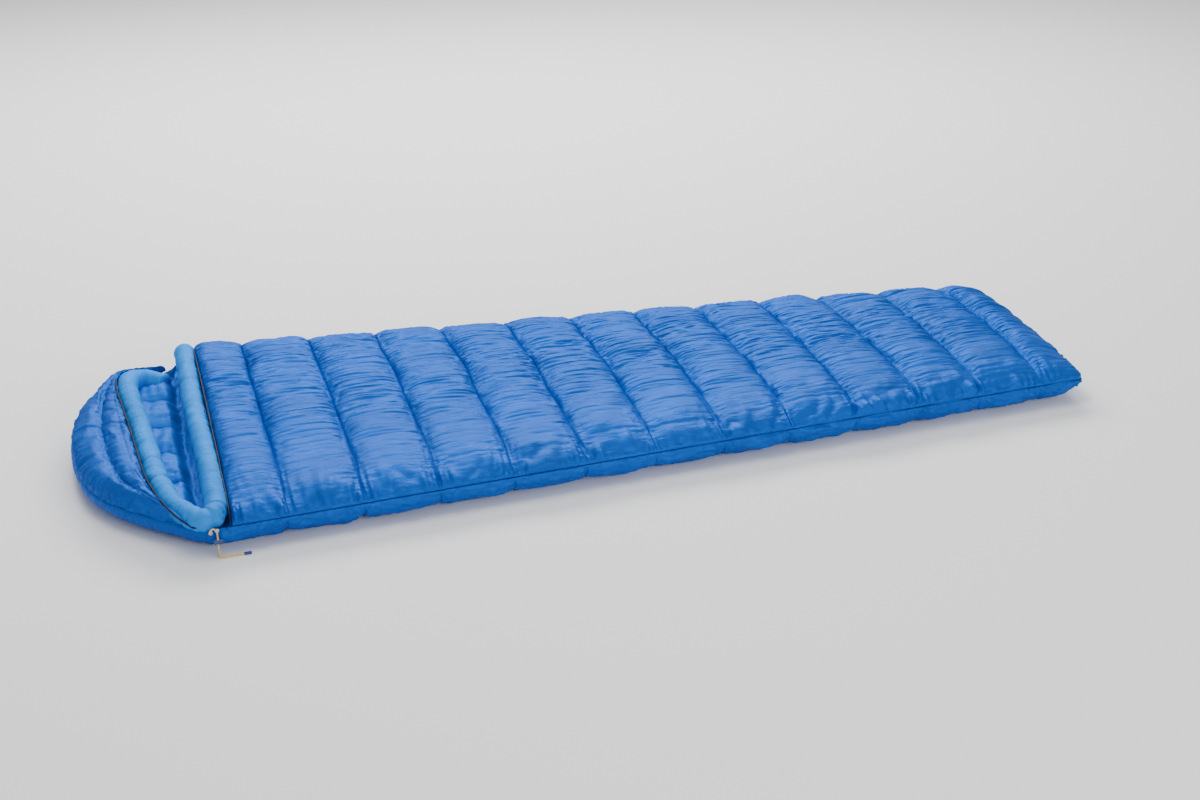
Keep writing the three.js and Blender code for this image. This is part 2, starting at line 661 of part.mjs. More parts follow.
// Both strands come out of an eyelet on the near side, run down through the lock and along the floor,
// and end side by side in a moulded tab. Points are offsets from the lock's middle, on the floor in z.
const strandRoutes = {
  drawcord_strand_1: [
    [0, 6.8, 48.4], [0, 5, 48], [0, 2.9, 46.6], [0, 1.6, 43.4], [0, 1.45, 40], [0, 1.45, 30],
    [0, 1.45, 20], [0, 1.4, 15], [0.6, 0.6, 9.5], [2.4, -1.4, 5], [6, -3.6, 2.2], [12, -5, 1.4],
    [20, -5.2, 1.4], [28, -4.4, 1.4], [36, -3.6, 1.4], [43, -3.4, 1.4],
  ],
  drawcord_strand_2: [
    [-11, 6.8, 44.9], [-11.2, 4.4, 45.2], [-12.6, 0.6, 47.2], [-13.4, -2.6, 51.6], [-11.4, -4, 56.4],
    [-7, -3.8, 58.4], [-2.8, -2.8, 56], [-0.5, -1.8, 50.6], [0, -1.45, 44], [0, -1.45, 40],
    [0, -1.45, 30], [0, -1.45, 20], [-0.2, -1.6, 15], [-0.2, -3.2, 9.5], [1.2, -6.2, 5],
    [4.6, -9, 2.2], [11, -10.4, 1.4], [20, -9.8, 1.4], [28, -8.6, 1.4], [36, -7.4, 1.4], [43, -7, 1.4],
  ],
};
for (const [name, route] of Object.entries(strandRoutes)) {
  const points = route.map(([x, y, z]) => new THREE.Vector3(LOCK_X + x, LOCK_Y + y, z));
  addMesh(name, tubeSolid(points, CORD_RADIUS, 8, 40), colours.cord, 0.8);
}

const TAB_START = 43.4;
const TAB_LENGTH = 14;
addMesh(
  'cord_end_tab',
  boxSolid(
    [LOCK_X + TAB_START, LOCK_Y - 9.4, 0],
    [LOCK_X + TAB_START + TAB_LENGTH, LOCK_Y - 1, 3.6],
  ),
  colours.plastic,
  0.5,
);

function eyeletSolid() {
  const inner = CORD_RADIUS + 0.3;
  const outline = [[inner, -0.7], [4.2, -0.7], [4.2, 0.3], [3.4, 0.7], [inner, 0.7], [inner, -0.7]];
  return latheSolid(outline, 20);
}
for (const [name, route] of [
  ['drawcord_eyelet_1', strandRoutes.drawcord_strand_1],
  ['drawcord_eyelet_2', strandRoutes.drawcord_strand_2],
]) {
  const [x, , z] = route[0];
  const eyelet = addMesh(name, eyeletSolid(), colours.metal, 0.35, 0.8);
  eyelet.position.set(LOCK_X + x, LOCK_Y + 6.9, z);
  eyelet.rotation.x = Math.PI;
}

// ---- The origin: the bottom centre of the bag's box, without the pieces on the drawcord -----------

const cordPiece = /^(drawcord_strand|cord_)/;
const bagBox = new THREE.Box3();
for (const mesh of group.children) {
  if (!cordPiece.test(mesh.name)) bagBox.expandByObject(mesh, true);
}
const bagMiddle = bagBox.getCenter(new THREE.Vector3());
group.position.set(-bagMiddle.x, -bagMiddle.y, -bagBox.min.z);

export default group;
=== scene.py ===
"""A hooded, tapered down sleeping bag, lying flat and closed on a pale studio floor.

The quilts, the hood and the padded tubes are built as grids of points. Each grid is a cloth that is longer
than the seams it is sewn to, so a short cloth solve buckles it into puckers and folds. Metres, +Z up.
"""
import math

import bpy
import numpy as np
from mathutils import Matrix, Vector


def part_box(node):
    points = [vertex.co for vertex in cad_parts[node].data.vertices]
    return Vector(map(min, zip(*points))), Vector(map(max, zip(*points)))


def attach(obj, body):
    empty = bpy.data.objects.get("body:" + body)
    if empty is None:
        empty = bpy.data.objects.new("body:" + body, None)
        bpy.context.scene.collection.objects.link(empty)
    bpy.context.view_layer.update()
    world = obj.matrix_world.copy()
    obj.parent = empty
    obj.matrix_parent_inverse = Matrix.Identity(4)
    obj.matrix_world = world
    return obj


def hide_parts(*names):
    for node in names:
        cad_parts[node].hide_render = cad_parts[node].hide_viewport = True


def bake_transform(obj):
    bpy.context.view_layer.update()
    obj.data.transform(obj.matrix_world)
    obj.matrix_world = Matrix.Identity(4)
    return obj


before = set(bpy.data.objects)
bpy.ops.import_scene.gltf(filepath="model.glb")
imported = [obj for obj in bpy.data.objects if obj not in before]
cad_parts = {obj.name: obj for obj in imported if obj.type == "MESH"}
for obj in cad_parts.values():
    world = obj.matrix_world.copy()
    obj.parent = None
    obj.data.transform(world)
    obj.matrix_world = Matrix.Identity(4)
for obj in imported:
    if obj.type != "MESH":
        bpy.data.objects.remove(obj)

for name in ("Cube", "Light", "Camera"):
    if name in bpy.data.objects:
        bpy.data.objects.remove(bpy.data.objects[name])
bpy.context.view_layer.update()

# ---- Places, from the frame and the bag's own measures ----

shell_low, shell_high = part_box("bottom_shell")
hood_low, hood_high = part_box("hood_floor_shell")
NECK_X = shell_low.x  # where the hood joins the lower quilt
HEAD_X = NECK_X + 0.046  # where the sides begin to taper
FOOT_EDGE = shell_high.x
MIDDLE_Y = (hood_low.y + hood_high.y) / 2
HEAD_HALF = 0.408  # half the width there
SIDE_SLOPE = 0.150 / 1.816
SIDE_ANGLE = math.atan(SIDE_SLOPE)
SEAM_Z = 0.050  # the side seam's height
SEAM_INSET = 0.0015
CREST_Z = 0.104  # the channels' crests
FLOOR_GAP = 0.0003
FULL_Z = 0.105  # nothing puffs far above this
ZIP_SPACE = 0.012
PITCH = 0.145  # one crosswise channel
TOP_HEAD_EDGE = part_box("top_shell")[0].x
SEAMS = [HEAD_X + 0.1015 + i * PITCH for i in range(12)]
CORNER = 0.045  # the foot's corner radius at the zip
NEAR_CORNER = 0.018
FOOT_ROUND = 0.100  # how far in from the foot the channels reach their full height
COARSE = 1.0


def count(steps):
    return max(4, int(round(steps * COARSE)))


def half_width(x):
    return HEAD_HALF - SIDE_SLOPE * (x - HEAD_X)


# ---- Camera, floor and light ----


def link(item):
    bpy.context.scene.collection.objects.link(item)
    return item


def make_camera():
    data = bpy.data.cameras.new("camera")
    data.sensor_width = 36
    data.lens = 54.5
    data.clip_end = 50
    camera = link(bpy.data.objects.new("camera", data))
    camera.location = (-0.942, -3.337, 1.629)
    camera.rotation_euler = (math.radians(90 - 24.87), 0, math.radians(-16.29))
    bpy.context.scene.camera = camera


def area_light(name, place, target, size, power):
    data = bpy.data.lights.new(name, "AREA")
    data.shape = "RECTANGLE"
    data.size, data.size_y = size
    data.energy = power
    light = link(bpy.data.objects.new(name, data))
    light.location = place
    light.rotation_euler = (Vector(target) - Vector(place)).to_track_quat("-Z", "Y").to_euler()


def make_studio():
    bpy.ops.mesh.primitive_plane_add(size=24, location=(0, 0, -0.0004))
    floor = bpy.context.object
    floor.name = "studio_floor"
    n = Nodes("studio_floor")
    n.set(n.shader, Base_Color=(0.94, 0.94, 0.94, 1), Roughness=0.9)
    floor.data.materials.append(n.material)
    world = bpy.data.worlds.new("studio")
    world.use_nodes = True
    background = world.node_tree.nodes["Background"].inputs
    background["Color"].default_value = (0.96, 0.98, 1, 1)
    background["Strength"].default_value = 0.48
    bpy.context.scene.world = world
    area_light("key", (0.5, 3.1, 2.5), (0, 0, 0), (4.2, 1.3), 200)
    area_light("front", (1.0, -3.8, 1.8), (0, 0, 0), (3.0, 1.2), 75)
    area_light("top", (-0.9, 0.3, 3.6), (-0.2, 0, 0), (2.4, 1.4), 60)


# ---- Materials ----


class Nodes:
    """A material's node tree, with short calls for the nodes used here."""

    def __init__(self, name):
        self.material = bpy.data.materials.new(name)
        self.material.use_nodes = True
        self.tree = self.material.node_tree
        self.shader = self.tree.nodes["Principled BSDF"]
        self.coordinates = self.node("TexCoord").outputs["Object"]

    def node(self, kind, **values):
        node = self.tree.nodes.new("ShaderNode" + kind)
        self.set(node, **values)
        return node

    def set(self, node, **values):
        """Gives each named input its value, or links it where the value is another node's socket."""
        for name, value in values.items():
            socket = node.inputs[name.replace("_", " ")]
            if isinstance(value, bpy.types.NodeSocket):
                self.tree.links.new(value, socket)
            else:
                socket.default_value = value

    def noise(self, scale, detail, roughness=0.5, turn=0.0):
        """Noise with this many lumps a metre, along all directions or along each."""
        scale = scale if isinstance(scale, tuple) else (scale, scale, scale)
        place = self.node("Mapping", Scale=scale, Rotation=(0, 0, turn), Vector=self.coordinates)
        node = self.node("TexNoise", Scale=1, Detail=detail, Roughness=roughness,
                         Vector=place.outputs["Vector"])
        return node.outputs["Fac"]

    def wave(self, period, direction):
        node = self.node("TexWave", Scale=2 * math.pi / 20 / period, Distortion=0.4,
                         Vector=self.coordinates)
        node.wave_type = "BANDS"
        node.bands_direction = direction
        return node.outputs["Fac"]

    def higher(self, a, b):
        node = self.node("Math")
        node.operation = "MAXIMUM"
        self.tree.links.new(a, node.inputs[0])
        self.tree.links.new(b, node.inputs[1])
        return node.outputs["Value"]

    def paint(self, factor, *stops):
        """The base colour: a ramp through these stops."""
        node = self.node("ValToRGB", Fac=factor)
        ramp = node.color_ramp
        while len(ramp.elements) < len(stops):
            ramp.elements.new(0.5)
        for element, (place, colour) in zip(ramp.elements, stops):
            element.position = place
            element.color = (*colour, 1)
        self.set(self.shader, Base_Color=node.outputs["Color"])

    def roughen(self, factor, low, high):
        node = self.node("MapRange", Value=factor, From_Min=0.25, From_Max=0.75, To_Min=low, To_Max=high)
        self.set(self.shader, Roughness=node.outputs["Result"])

    def bump(self, *layers):
        """Relief from pairs of a height and its distance, one on top of the other."""
        below = {}
        for height, distance in layers:
            node = self.node("Bump", Strength=1, Distance=distance, Height=height, **below)
            below = {"Normal": node.outputs["Normal"]}
        self.set(self.shader, **below)


def shade(colour, factor):
    return tuple(min(1.0, c * factor) for c in colour)


def fabric(name, colour, gloss, weave, crinkle):
    """Woven cloth: mottled colour, a fine plain weave, and small crinkles that run along the bag."""
    n = Nodes(name)
    n.paint(n.noise((7, 11, 9), 4),
            (0.25, shade(colour, 0.86)), (0.5, colour), (0.78, shade(colour, 1.16)))
    n.roughen(n.noise((24, 60, 60), 3), *gloss)
    threads = n.higher(n.wave(weave, "X"), n.wave(weave, "Y"))
    along = n.noise((22, 150, 150), 4, 0.62)
    slanted = n.noise((36, 120, 120), 3, 0.55, 0.35)
    n.bump((along, crinkle), (slanted, crinkle * 0.6), (threads, weave * 0.06))
    n.set(n.shader, Metallic=0.28, Specular_IOR_Level=0.10, Specular_Tint=(0.36, 0.66, 1.0, 1))
    return n.material


def piping_material():
    n = Nodes("piping_cloth")
    n.paint(n.noise(160, 2), (0.3, (0.005, 0.007, 0.024)), (0.7, (0.011, 0.016, 0.045)))
    n.bump((n.noise(420, 2), 0.0003), (n.noise(60, 2), 0.0006))
    n.set(n.shader, Roughness=0.62, Specular_IOR_Level=0.25)
    return n.material


def tape_material():
    n = Nodes("zip_tape_weave")
    n.paint(n.noise(30, 3), (0.3, (0.020, 0.062, 0.200)), (0.7, (0.032, 0.095, 0.280)))
    n.bump((n.wave(0.0011, "X"), 0.00012), (n.wave(0.0009, "Z"), 0.0001), (n.noise(80, 2), 0.0003))
    n.set(n.shader, Roughness=0.7, Sheen_Weight=0.15)
    return n.material


def hard_material(name, colour, roughness, metallic=0.0, grain=0.00005, coat=0.0):
    n = Nodes(name)
    n.paint(n.noise(90, 4), (0.3, shade(colour, 0.8)), (0.7, shade(colour, 1.15)))
    n.roughen(n.noise(260, 3), roughness * 0.8, roughness * 1.25)
    n.bump((n.noise(700, 2), grain), (n.noise(70, 2), grain * 3))
    n.set(n.shader, Metallic=metallic, Coat_Weight=coat)
    return n.material


def cord_material():
    n = Nodes("drawcord_braid")
    n.paint(n.noise(520, 2),
            (0.35, (0.62, 0.33, 0.08)), (0.5, (0.80, 0.52, 0.17)), (0.62, (0.92, 0.78, 0.48)))
    braid = n.higher(n.wave(0.0009, "DIAGONAL"), n.wave(0.0011, "Z"))
    n.bump((braid, 0.0002))
    n.set(n.shader, Roughness=0.75, Sheen_Weight=0.3)
    return n.material


SHELL_BLUE = (0.0035, 0.092, 0.470)
LINING_BLUE = (0.005, 0.118, 0.540)
TUBE_BLUE = (0.014, 0.245, 0.740)
SHELL = fabric("shell_nylon", SHELL_BLUE, (0.35, 0.47), 0.0011, 0.0014)
LINING = fabric("lining_nylon", LINING_BLUE, (0.40, 0.52), 0.0011, 0.0014)
TUBE = fabric("tube_nylon", TUBE_BLUE, (0.56, 0.70), 0.0012, 0.0009)
PIPING = piping_material()
TAPE = tape_material()
COIL = hard_material("zip_coil_nylon", (0.016, 0.036, 0.110), 0.32)
METAL = hard_material("zip_metal", (0.42, 0.43, 0.45), 0.28, 1.0)
SPRING = hard_material("spring_steel", (0.55, 0.55, 0.56), 0.25, 1.0)
PLASTIC = hard_material("lock_plastic", (0.030, 0.055, 0.210), 0.42, 0.0, 0.00008, 0.1)
THREAD = hard_material("stitch_thread", (0.018, 0.080, 0.280), 0.55)
CORD = cord_material()

# ---- Grids of points ----


def mesh_object(name, points, faces, material):
    mesh = bpy.data.meshes.new(name)
    points = np.asarray(points, np.float32).reshape(-1, 3)
    faces = np.asarray(faces, np.int32)
    mesh.vertices.add(len(points))
    mesh.vertices.foreach_set("co", points.ravel())
    mesh.loops.add(faces.size)
    mesh.loops.foreach_set("vertex_index", faces.ravel())
    mesh.polygons.add(len(faces))
    mesh.polygons.foreach_set("loop_start", np.arange(0, faces.size, faces.shape[1], dtype=np.int32))
    mesh.polygons.foreach_set("use_smooth", np.ones(len(faces), bool))
    mesh.update(calc_edges=True)
    mesh.validate()
    mesh.materials.append(material)
    item = link(bpy.data.objects.new(name, mesh))
    return item


def grid_faces(rows, columns, wrap=False, flip=False):
    number = np.arange(rows * columns).reshape(rows, columns)
    if wrap:
        number = np.concatenate([number, number[:, :1]], axis=1)
    a, b, c, d = number[:-1, :-1], number[1:, :-1], number[1:, 1:], number[:-1, 1:]
    order = (d, c, b, a) if flip else (a, b, c, d)
    return np.stack(order, axis=-1).reshape(-1, 4)


def grid_object(name, points, material, wrap=False, flip=False):
    faces = grid_faces(*points.shape[:2], wrap, flip)
    return mesh_object(name, points, faces, material)


def step_lengths(points, axis=0):
    return np.linalg.norm(np.diff(points, axis=axis), axis=-1)


def distances(path):
    """Each point's distance along its path."""
    return np.concatenate([[0], np.cumsum(step_lengths(path))])


def unit(vectors):
    return vectors / np.maximum(np.linalg.norm(vectors, axis=-1, keepdims=True), 1e-12)


def sewn(shape, rows=(), columns=()):
    """A grid's held points: all those of these rows and columns."""
    held = np.zeros(shape, bool)
    held[list(rows)] = True
    held[:, list(columns)] = True
    return held


def smooth_noise(rows, columns, row_reach, column_reach, seed):
    """Seeded noise of mean 0 and spread 1, smoothed over so many rows and columns."""
    field = np.random.default_rng(seed).standard_normal((rows, columns))
    row = np.fft.fftfreq(rows)[:, None] * row_reach
    column = np.fft.fftfreq(columns)[None, :] * column_reach
    field = np.real(np.fft.ifft2(np.fft.fft2(field) * np.exp(-2 * math.pi**2 * (row**2 + column**2))))
    return ((field - field.mean()) / field.std()).astype(np.float32)


def creases(home, *layers):
    """Relief like creased cloth: each layer is smooth noise with a sharp valley along its zero line.
    A layer is its reach along rows and across columns in metres, its size, its seed and its mask."""
    row_step, column_step = step_lengths(home, 0).mean(), step_lengths(home, 1).mean()
    relief = np.zeros(home.shape[:2], np.float32)
    for row_reach, column_reach, size, seed, mask in layers:
        field = smooth_noise(*home.shape[:2], row_reach / row_step, column_reach / column_step, seed)
        relief += size * mask * (np.sqrt(field**2 + 0.02) - 0.8)
    return relief


def bent(field, shifts):
    """A field whose rows are moved sideways by shifts, in columns."""
    places = np.arange(field.shape[1])
    return np.stack([np.interp(places + shift, places, row) for row, shift in zip(field, shifts)])


def raised(points, relief, held, wrap=False):
    """Points moved out along their normals by the relief, except the held ones."""
    return points + (relief * ~held)[..., None] * normals_of(points, wrap)


def normals_of(points, wrap=False):
    along_rows = np.gradient(points, axis=0)
    if wrap:
        along_columns = (np.roll(points, -1, 1) - np.roll(points, 1, 1)) / 2
    else:
        along_columns = np.gradient(points, axis=1)
    return unit(np.cross(along_rows, along_columns))


HOME_PULL = 0.004  # the share of its way back that a point is pulled home at each step


def pull_together(a, b, weight_a, weight_b, rest, stiffness):
    """Moves two sets of points so that their distances come nearer to rest."""
    gap = b - a
    length = np.sqrt(np.einsum("ijk,ijk->ij", gap, gap))
    share = stiffness * (length - rest) / np.maximum(length * (weight_a + weight_b), 1e-9)
    gap *= share[..., None]
    a += gap * weight_a[..., None]
    b -= gap * weight_b[..., None]


def settle(home, grow_rows, grow_columns, held, steps, press, cap, seed, reach, outward=1, bend=0.05,
           seed_size=0.0006, floor=None, wrap=False):
    """A cloth solve on a grid. Its edges want to be longer than at home by the grow factors, the held
    points stay, and air presses along the outward normal. No point moves further than cap."""
    shape = home.shape[:2]
    home = home.astype(np.float32)
    free = (~held).astype(np.float32)
    start = smooth_noise(*shape, *reach, seed)[..., None] * seed_size
    points = home + start * free[..., None] * normals_of(home, wrap)
    grow_rows, grow_columns = np.broadcast_to(grow_rows, shape), np.broadcast_to(grow_columns, shape)
    rest_rows = step_lengths(home, 0) * (grow_rows[:-1] + grow_rows[1:]) / 2
    rest_columns = step_lengths(home, 1) * (grow_columns[:, :-1] + grow_columns[:, 1:]) / 2
    slanted = (grow_rows[:-1, :-1] + grow_columns[:-1, :-1]) / 2
    rest_down = np.linalg.norm(home[1:, 1:] - home[:-1, :-1], axis=-1) * slanted
    rest_up = np.linalg.norm(home[1:, :-1] - home[:-1, 1:], axis=-1) * slanted
    whole, early, late = slice(None), slice(None, -1), slice(1, None)
    links = []
    for parity in (0, 1):
        first, second, part = slice(parity, -1, 2), slice(parity + 1, None, 2), slice(parity, None, 2)
        links += [
            ((first, whole), (second, whole), rest_rows[part], 0.9),
            ((whole, first), (whole, second), rest_columns[:, part], 0.9),
            ((first, early), (second, late), rest_down[part], 0.25),
            ((first, late), (second, early), rest_up[part], 0.25),
        ]
    if wrap:
        rest_wrap = np.linalg.norm(home[:, :1] - home[:, -1:], axis=-1) * grow_columns[:, :1]
        links.append(((whole, slice(-1, None)), (whole, slice(None, 1)), rest_wrap, 0.9))
    for _ in range(steps[1]):
        points += np.float32(press * outward) * normals_of(points, wrap) * free[..., None]
        smooth = np.zeros_like(points)
        smooth[1:-1] += points[2:] + points[:-2] - 2 * points[1:-1]
        if wrap:
            smooth += np.roll(points, 1, 1) + np.roll(points, -1, 1) - 2 * points
        else:
            smooth[:, 1:-1] += points[:, 2:] + points[:, :-2] - 2 * points[:, 1:-1]
        points += smooth * (bend * free[..., None] / 4)
        for a, b, rest, stiffness in links:
            pull_together(points[a], points[b], free[a], free[b], rest, stiffness)
        moved = points - home
        size = np.sqrt(np.einsum("ijk,ijk->ij", moved, moved))[..., None]
        moved *= np.minimum(1, cap / np.maximum(size, 1e-9)) * (1 - HOME_PULL)
        points = home + moved * free[..., None]
        if floor is not None:
            points[..., 2] = np.maximum(points[..., 2], floor)
    return points


def spaced(count, cluster=0.6):
    """count + 1 shares from 0 to 1, closer together at both ends."""
    t = np.linspace(0, 1, count + 1)
    return t - cluster / (2 * math.pi) * np.sin(2 * math.pi * t)


def smoothstep(low, high, value):
    t = np.clip((value - low) / (high - low), 0, 1)
    return t * t * (3 - 2 * t)


def stations_between(marks, steps):
    """A column of stations through marks, steps to each stretch, and the number of each mark's station."""
    places, rows = [marks[0]], [0]
    for start, end, number in zip(marks[:-1], marks[1:], steps):
        places += list(start + (end - start) * spaced(number)[1:])
        rows.append(rows[-1] + number)
    return np.array(places)[:, None], rows


def nearest(x, marks):
    """Each station's distance to the nearest mark."""
    return np.min(np.abs(x - np.array(marks)), axis=1, keepdims=True)


def resample(curve, shares):
    """Points along a polyline at these shares of its length."""
    length = distances(curve)
    return np.stack([np.interp(shares * length[-1], length, column) for column in curve.T], 1)


def smooth_path(points, count):
    """A Catmull-Rom curve through points, at count evenly spaced places."""
    p = np.array(points, float)
    p = np.concatenate([[2 * p[0] - p[1]], p, [2 * p[-1] - p[-2]]])
    t = np.linspace(0, 1, 24, endpoint=False)[:, None]
    parts = []
    for a, b, c, d in zip(p[:-3], p[1:-2], p[2:-1], p[3:]):
        parts.append(0.5 * (2 * b + (c - a) * t + (2 * a - 5 * b + 4 * c - d) * t**2
                            + (3 * b - a - 3 * c + d) * t**3))
    parts.append(p[-2][None])
    return resample(np.concatenate(parts), np.linspace(0, 1, count))


def tube_grid(path, radius, sides, flat=1.0, cap=0.9):
    """A ring of points round each place of a path, with rounded ends. Column 0 faces up."""
    along = unit(np.gradient(path, axis=0))
    side = unit(np.cross(along, np.array([0, 0, 1.0])))
    up = np.cross(side, along)
    turn = np.linspace(0, 2 * math.pi, sides, endpoint=False)
    length = distances(path)
    for distance in (length, length[-1] - length):
        t = np.clip(distance / (radius * cap), 0, 1)
        radius = radius * np.maximum(0.02, (1 - (1 - t) ** 2.4) ** (1 / 2.4))
    ring = np.cos(turn)[:, None] * up[:, None] * flat + np.sin(turn)[:, None] * side[:, None]
    return path[:, None] + ring * radius[:, None, None]


# ---- The cords ----

LOCK_X = HEAD_X - 0.025
LOCK = np.array([LOCK_X, MIDDLE_Y - half_width(LOCK_X) - 0.009, 0.030])
CORD_RADIUS = 0.0013
# Each strand's route from its eyelet to the tab, in millimetres from the lock's place on the floor.
STRANDS = {
    "drawcord_strand_1": [
        (0, 6.8, 48.4), (0, 5, 48), (0, 2.9, 46.6), (0, 1.6, 43.4), (0, 1.45, 40), (0, 1.45, 30),
        (0, 1.45, 20), (0, 1.4, 15), (0.6, 0.6, 9.5), (2.4, -1.4, 5), (6, -3.6, 2.2), (12, -5, 1.4),
        (20, -5.2, 1.4), (28, -4.4, 1.4), (36, -3.6, 1.4), (43, -3.4, 1.4),
    ],
    "drawcord_strand_2": [
        (-11, 6.8, 44.9), (-11.2, 4.4, 45.2), (-12.6, 0.6, 47.2), (-13.4, -2.6, 51.6), (-11.4, -4, 56.4),
        (-7, -3.8, 58.4), (-2.8, -2.8, 56), (-0.5, -1.8, 50.6), (0, -1.45, 44), (0, -1.45, 40),
        (0, -1.45, 30), (0, -1.45, 20), (-0.2, -1.6, 15), (-0.2, -3.2, 9.5), (1.2, -6.2, 5),
        (4.6, -9, 2.2), (11, -10.4, 1.4), (20, -9.8, 1.4), (28, -8.6, 1.4), (36, -7.4, 1.4), (43, -7, 1.4),
    ],
}


def make_strand(node):
    points = smooth_path(LOCK * (1, 1, 0) + np.array(STRANDS[node]) / 1000, 64)
    data = bpy.data.curves.new(node + "_cord", "CURVE")
    data.dimensions = "3D"
    data.bevel_depth = CORD_RADIUS
    data.bevel_resolution = 4
    data.use_fill_caps = True
    spline = data.splines.new("POLY")
    spline.points.add(len(points) - 1)
    for place, point in zip(spline.points, points):
        place.co = (*point, 1)
    spline.use_smooth = True
    strand = link(bpy.data.objects.new(node + "_cord", data))
    data.materials.append(CORD)
    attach(strand, "bottom_quilt")
    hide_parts(node)
    return strand, points


def make_lock_spring():
    """The coil spring inside the cord lock, built at one fixed length."""
    low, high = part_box("cord_lock_spring")
    turn = np.linspace(0, 5 * math.pi, 160)
    wire = 0.00025
    radius = (high.z - low.z) / 2 - wire
    path = np.column_stack([
        np.linspace(low.x + wire, high.x - wire, len(turn)),
        (low.y + high.y) / 2 + radius * np.cos(turn),
        (low.z + high.z) / 2 + radius * np.sin(turn),
    ])
    spring = grid_object("lock_spring_wire", tube_grid(path, wire, 10), SPRING, wrap=True)
    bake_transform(spring)
    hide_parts("cord_lock_spring")
    return spring


def make_cords():
    tab = rounded_tab(*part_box("cord_end_tab"))
    lock = [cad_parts["cord_lock_barrel"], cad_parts["cord_lock_plunger"], make_lock_spring()]
    for node in STRANDS:
        strand, points = make_strand(node)


def rounded_tab(low, high):
    """The moulded tab at the cords' end: a softened block with a waist near its middle."""
    half = (np.array(high) - np.array(low)) / 2
    t = np.linspace(-1, 1, 26)[:, None]
    turn = np.linspace(0, 2 * math.pi, 40, endpoint=False)
    full = np.maximum(0.02, 1 - np.abs(t) ** 7) ** (1 / 3.2)
    waist = 1 - 0.12 * np.exp(-((t - 0.1) / 0.22) ** 2)
    sideways = np.sign(np.cos(turn)) * np.abs(np.cos(turn)) ** 0.45 * full * waist
    upward = np.sign(np.sin(turn)) * np.abs(np.sin(turn)) ** 0.6 * full
    points = np.array(low) + half + half * np.stack([t + 0 * upward, sideways, upward], -1)
    tab = grid_object("cord_end_moulded_tab", points, PLASTIC, wrap=True)
    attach(tab, "bottom_quilt")
    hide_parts("cord_end_tab")
    return tab


make_camera()
make_studio()
make_cords()


# ---- The quilts' shape ----


def near_edge(x, inset=0.0):
    """The near side's line in plan: straight along the bag, and round the hood past the collar."""
    straight = MIDDLE_Y - half_width(x) + foot_inset(x, NEAR_CORNER)
    return np.where(x > HEAD_X, straight, MIDDLE_Y - HEAD_HALF + 0.008 * neck_share(x)**2) + inset


def far_edge(x):
    straight = MIDDLE_Y + half_width(x) - ZIP_SPACE - foot_inset(x)
    return np.where(x > HEAD_X, straight, MIDDLE_Y + HEAD_HALF - ZIP_SPACE - 0.050 * neck_share(x)**2)


def neck_share(x):
    return np.clip((HEAD_X - x) / (HEAD_X - NECK_X), 0, 1)


def foot_inset(x, corner=CORNER):
    depth = np.clip(FOOT_EDGE - x, 0, corner)
    return corner - np.sqrt(corner**2 - (corner - depth) ** 2)


def foot_share(x):
    depth = np.clip((FOOT_EDGE - x) / FOOT_ROUND, 0, 1)
    return np.sqrt(1 - (1 - depth) ** 2)


def across(v, near, far):
    """Places from the near line (v -1) to the far line (v 1)."""
    return near + (v + 1) / 2 * (far - near)


def crown(t, flatness, power):
    """A rounded bump over t from 0 to 1."""
    return (1 - np.abs(2 * t - 1) ** flatness) ** power


def channel_puff(x, marks):
    """0 on a sewn seam and 1 in the middle of a channel; the last channel stays full to the foot."""
    puff = np.ones_like(x)
    for start, end in zip(marks[:-1], marks[1:]):
        inside = (x >= start - 1e-9) & (x <= end + 1e-9)
        t = (x[inside] - start) / (end - start)
        value = crown(t, 2.6, 0.66)
        if end == marks[-1]:
            value = np.where(t > 0.5, 1, value)
        puff[inside] = value
    return puff


def cross_section(columns, far_power=2.6, near_power=2.6, height=0.048):
    """Shares across the bag, -1 to 1, and the arch's height there, evenly spaced along the arch."""
    half = 0.33
    angle = np.linspace(0, math.pi, 4000)
    power = np.where(angle < math.pi / 2, near_power, far_power)
    v = -np.sign(np.cos(angle)) * np.abs(np.cos(angle)) ** (2 / power)
    high = np.sin(angle) ** (2 / power)
    even = resample(np.stack([v * half, high * height], 1), np.linspace(0, 1, columns))
    return even[:, 0] / half, even[:, 1] / height


